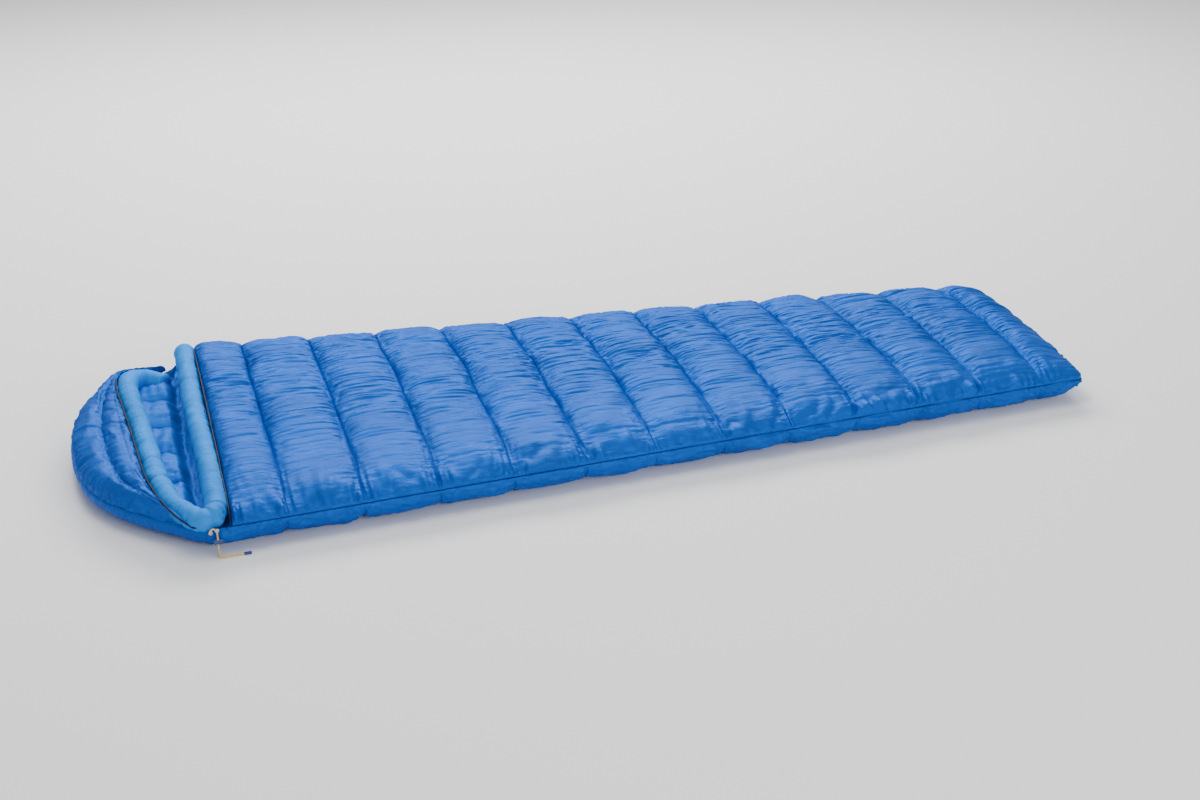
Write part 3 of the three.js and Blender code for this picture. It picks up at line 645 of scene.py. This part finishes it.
def top_shell_grid():
    marks = [TOP_HEAD_EDGE, *SEAMS, FOOT_EDGE]
    x, seam_rows = stations_between(marks, [count(30)] + [count(38)] * 11 + [count(36)])
    v, high = cross_section(count(370), 3.3, 2.2)
    shape = (len(x), len(v))
    puff = np.where(x < TOP_HEAD_EDGE + 0.045, 1, channel_puff(x, marks))
    head = 0.70 + 0.30 * (1 - np.exp(-(x - TOP_HEAD_EDGE) / 0.010))
    lumps = smooth_noise(*shape, 9, 20, 11) + 0.6 * smooth_noise(*shape, 7, 9, 13)
    dip = 0.0190 * (1 - puff)
    rise = CREST_Z - SEAM_Z - 0.001 - dip + 0.0015 * lumps * puff
    z = SEAM_Z + 0.001 + high * (head * foot_share(x)) * rise
    wobble = 0.0016 * smooth_noise(*shape, 26, 16, 12) * foot_share(x)
    wobble *= smoothstep(0, 0.04, x - TOP_HEAD_EDGE)
    home = np.stack([x + wobble, across(v, near_edge(x, SEAM_INSET), far_edge(x)), z], -1)
    to_seam = nearest(x, marks)
    arc = distances(home[len(x) // 4])
    side = np.minimum(arc, arc[-1] - arc)
    far_part = smoothstep(-0.62, -0.05, v)
    gather = np.exp(-to_seam / 0.020)
    grow_columns = 1.022 + 0.075 * far_part + 0.035 * gather
    grow_rows = 1.015 + 0.085 * np.exp(-side / 0.035) + 0.012 * far_part
    patches = smoothstep(-1.6, 1.2, smooth_noise(*shape, 14 * COARSE, 20 * COARSE, 19))
    wide = (0.10 + 0.90 * far_part) * (0.35 + 0.65 * patches) * smoothstep(1.0, 0.86, v)
    sway = 4 * COARSE * smooth_noise(*shape, 8 * COARSE, 17 * COARSE, 20)
    arch = COARSE * puff
    pucker = np.exp(-side / 0.040) * np.where(v < 0, 1, 0.18) * smoothstep(0.010, 0.090, FOOT_EDGE - x)
    fine = creases(home, (0.029, 0.0030, 0.0012, 14, wide), (0.015, 0.0023, 0.0009, 24, wide))
    broad = creases(home, (0.022, 0.0060, 0.0012, 15, wide), (0.043, 0.0135, 0.0015, 16, wide))
    relief = bent(fine, sway - 6 * arch) + bent(broad, -sway - 12 * arch)
    relief += creases(home, (0.0085, 0.0022, 0.0016, 18, gather), (0.0056, 0.0190, 0.0115, 17, pucker),
                      (0.024, 0.019, 0.0018, 22, 1))
    relief = relief * (smoothstep(0, 0.010, to_seam) * smoothstep(0, 0.012, side))
    return seam_rows, home, grow_rows, grow_columns, sewn(shape, seam_rows, [0, -1]), relief


# The side band under the seam, as depth in from the edge and height, on round to the underside.
BAND = np.array([(2, 49), (0.0, 46.5), (-1.6, 39), (-0.4, 31), (5, 22), (15, 14), (29, 7), (45, 1.6),
                 (60, 0)]) / 1000
BAND_TOP = 0.049


def bottom_shell_grid():
    marks = [NECK_X, *SEAMS, FOOT_EDGE]
    x, seam_rows = stations_between(marks, [count(36)] + [count(34)] * 12)
    inward, level = smooth_path(BAND, count(38)).T
    floor = np.linspace(0, 1, count(64))[1:-1]
    pinch = 1 - np.where(x < SEAMS[0] - 0.06, 1, channel_puff(x, marks))
    waist = np.sin(np.clip(level / BAND_TOP, 0, 1) * math.pi)
    depth = inward + 0.0050 * pinch * waist
    height = BAND_TOP - (BAND_TOP - level - 0.0065 * pinch * (1 - level / BAND_TOP)) * foot_share(x)
    near, far = near_edge(x) + depth, far_edge(x) - depth
    middle = near[:, -1:] + floor * (far[:, -1:] - near[:, -1:])
    y = np.concatenate([near, middle, far[:, ::-1]], 1)
    z = np.concatenate([height, np.repeat(height[:, -1:], len(floor), 1), height[:, ::-1]], 1)
    home = np.stack([x + 0 * y, y, z], -1)
    down = np.linspace(0, 0.05, len(level))
    down = np.concatenate([down, np.full(len(floor), 0.05), down[::-1]])
    to_seam = nearest(x, marks)
    grow_rows = 1.015 + 0.085 * np.exp(-down / 0.018)
    grow_columns = 1.012 + 0.030 * np.exp(-to_seam / 0.016)
    relief = creases(home, (0.0035, 0.0080, 0.0028, 32, np.exp(-down / 0.026)),
                     (0.014, 0.0080, 0.0018, 33, smoothstep(0.048, 0.030, down)))
    relief *= smoothstep(0, 0.009, to_seam) * smoothstep(0, 0.006, down) * (z > 0.002)
    return seam_rows, home, grow_rows, grow_columns, sewn(y.shape, seam_rows, [0, -1]), relief


def blend_to_top(item):
    """Bakes an item's transform into its mesh points."""
    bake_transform(item)


def blend_to_hood(item):
    """Bakes an item's transform into its mesh points."""
    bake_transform(item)


def chambers(side):
    return [f"{side}_chamber_{i:02d}" for i in range(1, 14)]


def bars_object(name, blocks, material):
    """Small four-sided bars: each block of points is a chain of rings of four."""
    size = blocks.shape[1]
    faces = []
    for ring in range(0, size - 4, 4):
        for a, b in ((0, 1), (1, 2), (2, 3), (3, 0)):
            faces.append((ring + a, ring + a + 4, ring + b + 4, ring + b))
    faces += [(0, 1, 2, 3), (size - 1, size - 2, size - 3, size - 4)]
    first = np.arange(len(blocks))[:, None, None] * size
    return mesh_object(name, blocks.reshape(-1, 3), (first + np.array(faces)).reshape(-1, 4), material)


def stitch_row(line, normals):
    """The points of a row of thread stitches along a polyline, each a bar that lies on the cloth."""
    pitch, length, width = 0.0036, 0.0024, 0.00042
    size = step_lengths(line).sum()
    shares = (np.arange(int(size / pitch)) + 0.5) * pitch / size
    middle = resample(line, shares)
    along = unit(resample(line, np.clip(shares + length / 2 / size, 0, 1)) - middle)
    up = unit(resample(normals, shares))
    side = np.cross(up, along)
    points = []
    for t, thick in ((-1, 0.3), (-0.55, 1), (0.55, 1), (1, 0.3)):
        for a, b in ((1, 0), (0, 1), (-1, 0), (0, -1)):
            out = (side * a + up * (b * 0.8 + 0.6)) * width * thick
            points.append(middle + along * (t * length / 2) + out)
    return np.stack(points, 1)


def stitches_object(name, points, lines, outward=1):
    """Thread stitches along lines of a grid, each given as its row and its column numbers."""
    normals = outward * normals_of(points)
    rows = [stitch_row(points[line], normals[line]) for line in lines]
    return bars_object(name, np.concatenate(rows), THREAD)


def overshoot(distance, limit):
    """How far to pull back a distance above 0 so that it eases off and stays under the limit."""
    past = np.maximum(distance, 0)
    return past - limit * np.tanh(past / limit)


def make_top_shell():
    seam_rows, home, grow_rows, grow_columns, held, relief = top_shell_grid()
    points = settle(home, grow_rows, grow_columns, held, steps=(80, 130), press=2.2e-5, cap=0.008,
                    seed=21, reach=(6, 1.8), bend=0.04, seed_size=0.0007)
    points = raised(points, relief, held)
    points[..., 2] -= overshoot(points[..., 2] - FULL_Z, 0.006)
    points[..., 1] += overshoot(near_edge(points[..., 0]) + 0.004 - points[..., 1], 0.0035)
    shell = grid_object("top_quilt_shell", points, SHELL)
    blend_to_top(shell)
    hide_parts("top_shell", *chambers("top"))
    lines = [(row, slice(2, -2)) for row in seam_rows[1:-1]]
    blend_to_top(stitches_object("top_quilt_stitches", points, lines))


def make_bottom_shell():
    seam_rows, home, grow_rows, grow_columns, held, relief = bottom_shell_grid()
    points = settle(home, grow_rows, grow_columns, held, steps=(80, 130), press=1.4e-5, cap=0.005,
                    seed=31, reach=(2, 5), outward=-1, bend=0.04, seed_size=0.0009, floor=FLOOR_GAP)
    points = raised(points, -relief, held)
    points[..., 2] = np.maximum(points[..., 2], FLOOR_GAP)
    shell = grid_object("bottom_quilt_shell", points, SHELL, flip=True)
    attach(shell, "bottom_quilt")
    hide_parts("bottom_shell", *chambers("bottom"))
    wide = count(38)
    lines = [(row, band) for band in (slice(1, wide), slice(-wide, -1)) for row in seam_rows[1:-1]]
    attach(stitches_object("bottom_quilt_stitches", points, lines, -1), "bottom_quilt")


def hood_puff(y):
    """The hood lining's lengthwise channels."""
    return crown(((y - MIDDLE_Y + 0.064) / 0.128) % 1, 2.2, 0.7)


HOOD_OUTLINE = [
    (-0.796, -0.402), (-0.821, -0.395), (-0.868, -0.360), (-0.921, -0.314), (-0.983, -0.242),
    (-1.020, -0.166), (-1.037, -0.070), (-1.040, 0.020), (-1.034, 0.090), (-1.018, 0.155),
    (-0.995, 0.205), (-0.965, 0.262), (-0.935, 0.298), (-0.905, 0.312), (-0.872, 0.320),
    (-0.842, 0.330), (-0.821, 0.350),
]


def outline(turn):
    """The hood's outer line in plan, from the near end of the neck (0) to the far end (1)."""
    path = smooth_path(HOOD_OUTLINE, 1200)
    neck = np.argmin(np.abs(path[:200, 0] - NECK_X))
    path = path[neck:]
    path[0] = (NECK_X, near_edge(NECK_X))
    path[-1] = (NECK_X, far_edge(NECK_X))
    return resample(path, turn)


def lining_edges(x):
    """The near and far lines of the lower lining, which runs on from the quilt over the hood's floor."""
    line = outline(np.linspace(0, 1, 800))
    tip = np.argmin(line[:, 0])
    near_hood = np.interp(x, line[tip::-1, 0], line[tip::-1, 1])
    far_hood = np.interp(x, line[tip:, 0], line[tip:, 1])
    near = np.where(x < NECK_X, near_hood, near_edge(x)) + SEAM_INSET
    far = np.where(x < NECK_X, far_hood - 0.004, far_edge(x))
    return near, np.maximum(far, near + 0.02)


def lining_grid(side):
    """The inner cloth of a quilt: it arches with the sleeping space and is sewn at every crosswise seam."""
    top = side == "top"
    start = TOP_HEAD_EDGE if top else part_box("hood_floor_lining")[0].x + 0.010
    marks = [start, *SEAMS, FOOT_EDGE]
    x, seam_rows = stations_between(marks, [count(20 if top else 110)] + [count(14)] * 11 + [count(12)])
    v, high = cross_section(count(200), height=0.02)
    y = across(v, *lining_edges(x))
    puff = channel_puff(x, [max(start, NECK_X), *marks[1:]])
    mouth = 0.004 * (1 - smoothstep(HEAD_X, SEAMS[1], x))
    reach = high * foot_share(x) * (0.0095 + mouth)
    bulge = 0.0080 * puff * high * foot_share(x)
    if top:
        z = SEAM_Z + 0.002 + reach - bulge
    else:
        into_hood = 1 - smoothstep(NECK_X - 0.028, NECK_X - 0.004, x)
        share = np.clip((x - start) / 0.05, 0, 1) ** 0.5
        reach = np.where(x < NECK_X, high * 0.0135, reach)
        bulge = np.where(x < NECK_X, 0, bulge)
        groove = 0.010 * smoothstep(-0.028, -0.004, x - NECK_X) * smoothstep(0.075, 0.030, x - NECK_X)
        lift = ((0.024 * hood_puff(y) - 0.001) * into_hood - groove) * np.minimum(1, high * 1.1) - reach
        z = SEAM_Z - 0.002 + lift * share + bulge
    return x, np.stack([x + 0 * y, y, z], -1), sewn(y.shape, seam_rows, [0, -1])


def make_lining(side):
    x, home, held = lining_grid(side)
    loose = 1.012 + 0.035 * (1 - smoothstep(NECK_X, SEAMS[0], x))
    sign = -1 if side == "top" else 1
    points = settle(home, loose, 1.03, held, outward=sign, steps=(60, 100),
                    press=1.1e-5, cap=0.005, seed=41, seed_size=0.0009, reach=(4, 2.4))
    layers = [(0.016, 0.0070, 0.0011, 43, 1), (0.011, 0.024, 0.0026, 44, loose > 1.02)]
    points = raised(points, sign * creases(home, *layers), held)
    lining = grid_object(f"{side}_quilt_lining", points, LINING, flip=side == "top")
    if side == "top":
        blend_to_top(lining)
        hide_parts("top_lining")
    else:
        blend_to_hood(lining)
        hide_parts("bottom_lining", "hood_floor_lining")


# ---- The hood ----


def inward_of(turn):
    """The direction in from the hood's outline; at both ends of the neck it runs straight across."""
    step = 1e-3
    along = unit(outline(np.minimum(turn + step, 1)) - outline(np.maximum(turn - step, 0)))
    normal = np.stack([-along[:, 1], along[:, 0]], 1)
    toward = np.array([NECK_X, MIDDLE_Y]) - outline(turn)
    normal *= np.sign((normal * toward).sum(1, keepdims=True))
    square = np.stack([np.zeros(len(turn)), np.sign(0.5 - turn)], 1)
    share = smoothstep(0, 0.12, np.minimum(turn, 1 - turn))[:, None]
    return unit(normal * share + square * (1 - share))


def make_hood_floor():
    turn = np.linspace(0, 1, count(190))
    band = smooth_path(BAND, count(38))
    side = outline(turn)[:, None] + band[:, :1] * inward_of(turn)[:, None]
    share = np.linspace(0, 1, count(30))[1:]
    floor = side[:, -1:] + (np.array([NECK_X, MIDDLE_Y]) - side[:, -1:]) * share[:, None]
    plan = np.concatenate([side, floor], 1)
    z = np.concatenate([band[:, 1], np.zeros(len(share))])
    lift = 0.006 * np.sin(math.pi * turn)[:, None] ** 2 * np.exp(-np.abs(z - 0.012) / 0.012)
    home = np.concatenate([plan, (z + lift)[..., None]], -1)
    down = np.concatenate([np.linspace(0, 0.05, len(band)), np.full(len(share), 0.05)])
    held = sewn(home.shape[:2], [0, -1], [0, -1])
    points = settle(home, 1.015 + 0.055 * np.exp(-down / 0.02), 1.012, held, steps=(70, 110),
                    press=1.5e-5, cap=0.006, seed=51, reach=(1.6, 5), floor=FLOOR_GAP)
    shell = grid_object("hood_floor_outer", points, SHELL)
    blend_to_hood(shell)
    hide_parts("hood_floor_shell", "hood_floor_chamber")


RIM_LINE = [
    (-0.838, -0.402), (-0.853, -0.392), (-0.870, -0.372), (-0.891, -0.322), (-0.908, -0.250),
    (-0.916, -0.165), (-0.924, -0.055), (-0.932, 0.045), (-0.940, 0.140), (-0.940, 0.212),
    (-0.927, 0.260), (-0.900, 0.290), (-0.870, 0.298), (-0.845, 0.290), (-0.828, 0.276),
]


def rim_plan(shares):
    """The hood rim's line in plan, from the near corner (0) round to the curled far end (1)."""
    return resample(smooth_path(RIM_LINE, 800), shares)


def rim_height(x):
    """The wall's height at the rim: full over the head, and falling towards the near corner."""
    clear = np.clip(NECK_X - x, 0, 1)
    return SEAM_Z + 0.006 + 0.041 * (1 - np.exp(-(clear / 0.060) ** 1.8))


def rim_top(shares):
    plan = rim_plan(shares)
    near = rim_height(plan[:, 0])
    return np.where(plan[:, 1] > 0, SEAM_Z + 0.047 - 0.030 * smoothstep(0.78, 1, shares), near)


def wall_lines(turn):
    """The hood wall's outer line and rim in plan, and the rim's height."""
    return outline(turn * 0.97 + 0.004), rim_plan(turn * 0.93), rim_top(turn * 0.93)[:, None]


def make_hood_wall():
    """The hood's outer cloth, from the outline up to the rim, with one seam that runs round between."""
    turn = np.linspace(0, 1, count(230))
    seam = 0.52
    s, seam_columns = stations_between([0, seam, 1], [count(34), count(34)])
    sew = np.exp(-nearest(s, [0, seam, 1])[:, 0] / 0.10)
    s = s[:, 0]
    edge, rim, top = wall_lines(turn)
    plan = edge[:, None] + (rim - edge)[:, None] * s[:, None]
    bulge = (1 - (1 - s) ** 2.4) ** (1 / 2.4) - 0.10 * smoothstep(0.9, 1, s)
    puff = crown(np.where(s < seam, s / seam, (s - seam) / (1 - seam)), 2.3, 0.8)
    puff = np.where((s < 0.25) | (s > 0.85), 1, puff)
    width = np.linalg.norm(rim - edge, axis=1)[:, None]
    dip = 0.011 * smoothstep(0.02, 0.09, width) * (1 - puff)
    z = SEAM_Z + 0.001 + (top - SEAM_Z - 0.001) * bulge - dip
    lumps = 0.001 * smooth_noise(*z.shape, 14, 8, 61) * puff
    home = np.concatenate([plan, (z + lumps)[..., None]], -1)
    held = sewn(z.shape, [0, -1], seam_columns)
    points = settle(home, 1.018 + 0.055 * sew, 1.015, held, steps=(80, 130), press=2e-5, cap=0.0065,
                    seed=62, reach=(1.6, 5))
    rough = smoothstep(0.01, 0.06, width)
    relief = creases(home, (0.0036, 0.0100, 0.0015, 63, (0.3 + 0.7 * sew) * rough),
                     (0.016, 0.0060, 0.0014, 64, rough))
    points = raised(points, relief, held)
    shell = grid_object("hood_wall_outer", points, SHELL)
    blend_to_hood(shell)
    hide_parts("hood_wall_shell", "hood_chamber_outer", "hood_chamber_inner")
    blend_to_hood(stitches_object("hood_arc_stitches", points, [(slice(2, -2), seam_columns[1])]))


def make_hood_lining():
    turn = np.linspace(0, 1, count(150))
    s = np.linspace(0, 1, count(40))
    edge, rim, top = wall_lines(turn)
    inner = rim + inward_of(turn) * 0.016
    plan = edge[:, None] + (inner - edge)[:, None] * s[:, None]
    low = SEAM_Z + 0.002
    roof = (top - low - 0.022) * s ** 0.7
    waves = 0.0016 * smooth_noise(*roof.shape, 2.2, 6, 72) * np.sin(math.pi * s)
    z = low + np.clip(roof, 0, 0.020) + waves
    wall = grid_object("hood_wall_inner", np.concatenate([plan, z[..., None]], -1), LINING,
                       flip=True)
    blend_to_hood(wall)
    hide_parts("hood_wall_lining")


# ---- Padded tubes and pipings ----


def dense_ends(path_points, rows):
    """Evenly spaced rows along a path, with more of them where the ends are rounded."""
    path = smooth_path(path_points, 900)
    share = np.linspace(0, 1, rows)
    ends = 0.02 / step_lengths(path).sum()
    extra = ends * (1 - np.cos(np.linspace(0, math.pi / 2, 10)[:-1]))
    share = np.concatenate([extra, share[(share > ends) & (share < 1 - ends)], (1 - extra)[::-1]])
    return resample(path, share)


def soft_tube(name, path, radius, seed, held_turn):
    """A padded tube that is sewn on along one line of its round, and gathers towards it."""
    home = tube_grid(path, radius, count(60), cap=0.45)
    rows, columns = home.shape[:2]
    seam = int(held_turn * columns) % columns
    held = sewn((rows, columns), [0, 1, -2, -1], [seam])
    near_seam = np.abs((np.arange(columns) - seam + columns // 2) % columns - columns // 2) / columns
    gather = 1.02 + 0.04 * np.exp(-near_seam / 0.12)
    points = settle(home, gather, 1.01, held, steps=(60, 100), press=1.5e-5, cap=0.0035,
                    seed=seed, seed_size=0.0005, reach=(1.5, 5), wrap=True)
    layers = [(0.0030, 0.0110, 0.0009, seed + 100, 0.35 + 0.65 * np.exp(-near_seam / 0.15)),
              (0.012, 0.0130, 0.0010, seed + 200, 1)]
    points = raised(points, creases(home, *layers), held, True)
    return grid_object(name, points, TUBE, wrap=True)


def make_collar():
    low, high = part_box("collar_tube")
    middle_x = (low.x + high.x) / 2
    ys = np.linspace(low.y + 0.016, high.y - 0.030, 9)
    lift = 0.0755 + 0.0028 * np.sin(np.linspace(0, math.pi, 9)) ** 0.5 - 0.009 * np.exp(-np.arange(9) / 0.8)
    sway = 0.0022 * np.sin(np.linspace(0, 7.5, 9))
    points = [(middle_x + 0.0015 + s, y, z) for s, y, z in zip(sway, ys, lift)]
    tube = soft_tube("collar_padded_tube", dense_ends(points, count(330)), 0.0222, 81, held_turn=0.30)
    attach(tube, "top_quilt")
    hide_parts("collar_tube")


def make_piping(name, points, node):
    path = smooth_path(points, count(300))
    home = tube_grid(path, 0.0019, 12)
    wave = smooth_noise(len(path), 12, 2.5, 2, 91)[..., None] * 0.00022
    item = grid_object(name, home + wave * normals_of(home, True), PIPING, wrap=True)
    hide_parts(node)
    return item


def make_collar_piping():
    v, high = cross_section(41, 3.3, 2.2)
    y = across(v, near_edge(TOP_HEAD_EDGE, SEAM_INSET), far_edge(TOP_HEAD_EDGE))
    z = SEAM_Z + 0.0026 + high * 0.80 * (CREST_Z - SEAM_Z - 0.001)
    points = np.column_stack([np.full(41, TOP_HEAD_EDGE - 0.0028), y, z])
    blend_to_top(make_piping("collar_dark_piping", points, "collar_piping"))


def rim_offset(shares, distance, below):
    """A line inside the rim, this far in from it and this far below its height."""
    plan = rim_plan(shares)
    along = unit(np.gradient(plan, axis=0))
    inward = np.stack([along[:, 1], -along[:, 0]], 1)
    return np.column_stack([plan + inward * distance, rim_top(shares) - below])


def make_rim():
    """The rim's padded tube: it curls in at the far end, and at the near end it folds round the corner
    and runs on under the end of the collar's tube."""
    main = rim_offset(np.linspace(0.105, 1, 40), 0.0205, 0.0165)
    corner = [(-0.797, -0.342, 0.0700), (-0.797, -0.362, 0.0685), (-0.802, -0.380, 0.0665),
              (-0.815, -0.390, 0.0650), (-0.830, -0.384, 0.0640), (-0.843, -0.366, 0.0645)]
    path = dense_ends(np.concatenate([corner, main]), count(420))
    length = distances(path)
    crease = sum(np.exp(-((length - place) / 0.005) ** 2) for place in (0.052, 0.098, 0.225, 0.300))
    radius = 0.0222 - 0.0026 * crease - 0.002 * smoothstep(0.06, 0, length)
    tube = soft_tube("hood_padded_rim", path, radius, 82, held_turn=0.75)
    blend_to_hood(tube)
    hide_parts("hood_rim_tube")
    piping = rim_offset(np.linspace(0, 0.80, 80), -0.0012, 0.0015)
    start = [(NECK_X + 0.013, near_edge(NECK_X) - 0.001, 0.0480)]
    piping = make_piping("rim_dark_piping", np.concatenate([start, piping]), "hood_rim_piping")
    blend_to_hood(piping)


def make_draft_tube():
    low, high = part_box("draft_tube")
    xs = np.linspace(low.x + 0.003, high.x - 0.003, 30)
    middle = np.interp(xs, [low.x, high.x], [high.y - 0.012, low.y + 0.012])
    path = smooth_path([(x, y, 0.0525) for x, y in zip(xs, middle)], count(360))
    home = tube_grid(path, 0.0105, 24, flat=0.2)
    home += smooth_noise(len(path), 24, 3, 3, 92)[..., None] * 0.0006 * normals_of(home, True)
    tube = grid_object("zip_draft_tube", home, TUBE, wrap=True)
    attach(tube, "top_quilt")
    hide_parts("draft_tube")


# ---- The zip ----

ZIP_MIDDLE = 0.005
ZIP_HEAD, ZIP_END_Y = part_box("zip_tape_top")[0][:2]


def zip_line(distance, steps):
    """The zip's line in plan, this far outside the quilts' edge, from the head round the foot's corner."""
    corner_x = FOOT_EDGE - CORNER
    corner_y = MIDDLE_Y + half_width(corner_x) - ZIP_SPACE - CORNER / math.cos(SIDE_ANGLE)
    full = math.pi / 2 - SIDE_ANGLE
    head_y = MIDDLE_Y + half_width(ZIP_HEAD) - ZIP_SPACE + distance / math.cos(SIDE_ANGLE)
    angles = np.linspace(full, 0, 24)
    reach = CORNER + distance
    curve = np.stack([corner_x + reach * np.cos(angles), corner_y + reach * np.sin(angles)], 1)
    corners = np.concatenate([[(ZIP_HEAD, head_y)], curve, [(FOOT_EDGE + distance, ZIP_END_Y)]])
    return resample(corners, np.linspace(0, 1, steps))


def make_tape(side):
    """A woven tape from the coil to the quilt's edge: it leans in where it is sewn on."""
    sign = 1 if side == "top" else -1
    rows = count(500)
    middle, inner = zip_line(ZIP_MIDDLE, rows), zip_line(-0.0005, rows)
    heights = np.array([0.0016, 0.0030, 0.0055, 0.0085, 0.0110, 0.0125])
    lean = np.array([0.0, 0.0, 0.04, 0.12, 0.34, 0.62])
    ripple = 0.0005 * smooth_noise(rows, len(heights), 6, 2, 93)
    plan = middle[:, None] + (inner - middle)[:, None] * (lean + ripple * 60)[..., None]
    z = SEAM_Z + sign * heights + 0 * ripple
    tape = grid_object(f"zip_{side}_tape_cloth", np.concatenate([plan, z[..., None]], -1), TAPE,
                       flip=side == "bottom")
    thicken = tape.modifiers.new("thickness", "SOLIDIFY")
    thicken.thickness = 0.0006
    thicken.offset = 0
    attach(tape, f"{side}_quilt")
    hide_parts(f"zip_tape_{side}")


def make_coil(side):
    """The zip's teeth: loops of a nylon coil, one beside the other, sewn to the tape's edge."""
    pitch, half_step = 0.0022, 0.0005
    line = zip_line(ZIP_MIDDLE, 4000)
    total = step_lengths(line).sum()
    places = np.arange(int(total / pitch)) * pitch + (pitch / 2 if side == "top" else 0)
    middle = resample(line, places / total)
    ahead = resample(line, np.clip((places + half_step) / total, 0, 1))
    behind = resample(line, np.clip((places - half_step) / total, 0, 1))
    along = np.column_stack([unit(ahead - behind), np.zeros(len(middle))])
    out = np.column_stack([along[:, 1], -along[:, 0], along[:, 2]])
    out *= np.sign(out[0, 1])
    up = np.array([0, 0, 1.0 if side == "top" else -1.0])
    base = np.column_stack([middle, np.full(len(middle), SEAM_Z)])
    rings = []
    for a, b in ((-0.0013, 0.0030), (-0.0014, 0.0015), (-0.0007, 0.0006), (0.0007, 0.0006), (0.0014, 0.0015),
                 (0.0013, 0.0030)):
        centre = base + out * a + up * b
        outwards = unit(out * a + up * (b - 0.0018))
        for c, d in ((-1, 0), (0, 1), (1, 0), (0, -1)):
            rings.append(centre + along * (c * 0.00062) + outwards * (d * 0.00045))
    coil = bars_object(f"zip_{side}_teeth", np.stack(rings, 1), COIL)
    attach(coil, f"{side}_quilt")
    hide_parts(f"zip_coil_{side}")


def finish_hard_parts():
    """CAD pieces that keep their shape: a worked material and a small bevel on their edges."""
    finishes = {
        METAL: ["zip_slider_head", "zip_slider_foot", "zip_pull_head", "zip_pull_foot", "zip_retaining_box",
                "zip_insertion_pin", "drawcord_eyelet_1", "drawcord_eyelet_2"],
        PLASTIC: ["cord_lock_barrel", "cord_lock_plunger"],
    }
    for material, nodes in finishes.items():
        for node in nodes:
            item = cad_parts[node]
            item.data.materials.clear()
            item.data.materials.append(material)
            bevel = item.modifiers.new("soft_edges", "BEVEL")
            bevel.width = 0.0003
            bevel.segments = 2
            bevel.limit_method = "ANGLE"
            bevel.angle_limit = math.radians(35)


# ---- Everything together ----

make_top_shell()
make_bottom_shell()
make_lining("top")
make_lining("bottom")
make_hood_floor()
make_hood_wall()
make_hood_lining()
make_collar()
make_collar_piping()
make_rim()
make_draft_tube()
for half in ("top", "bottom"):
    make_tape(half)
    make_coil(half)
finish_hard_parts()
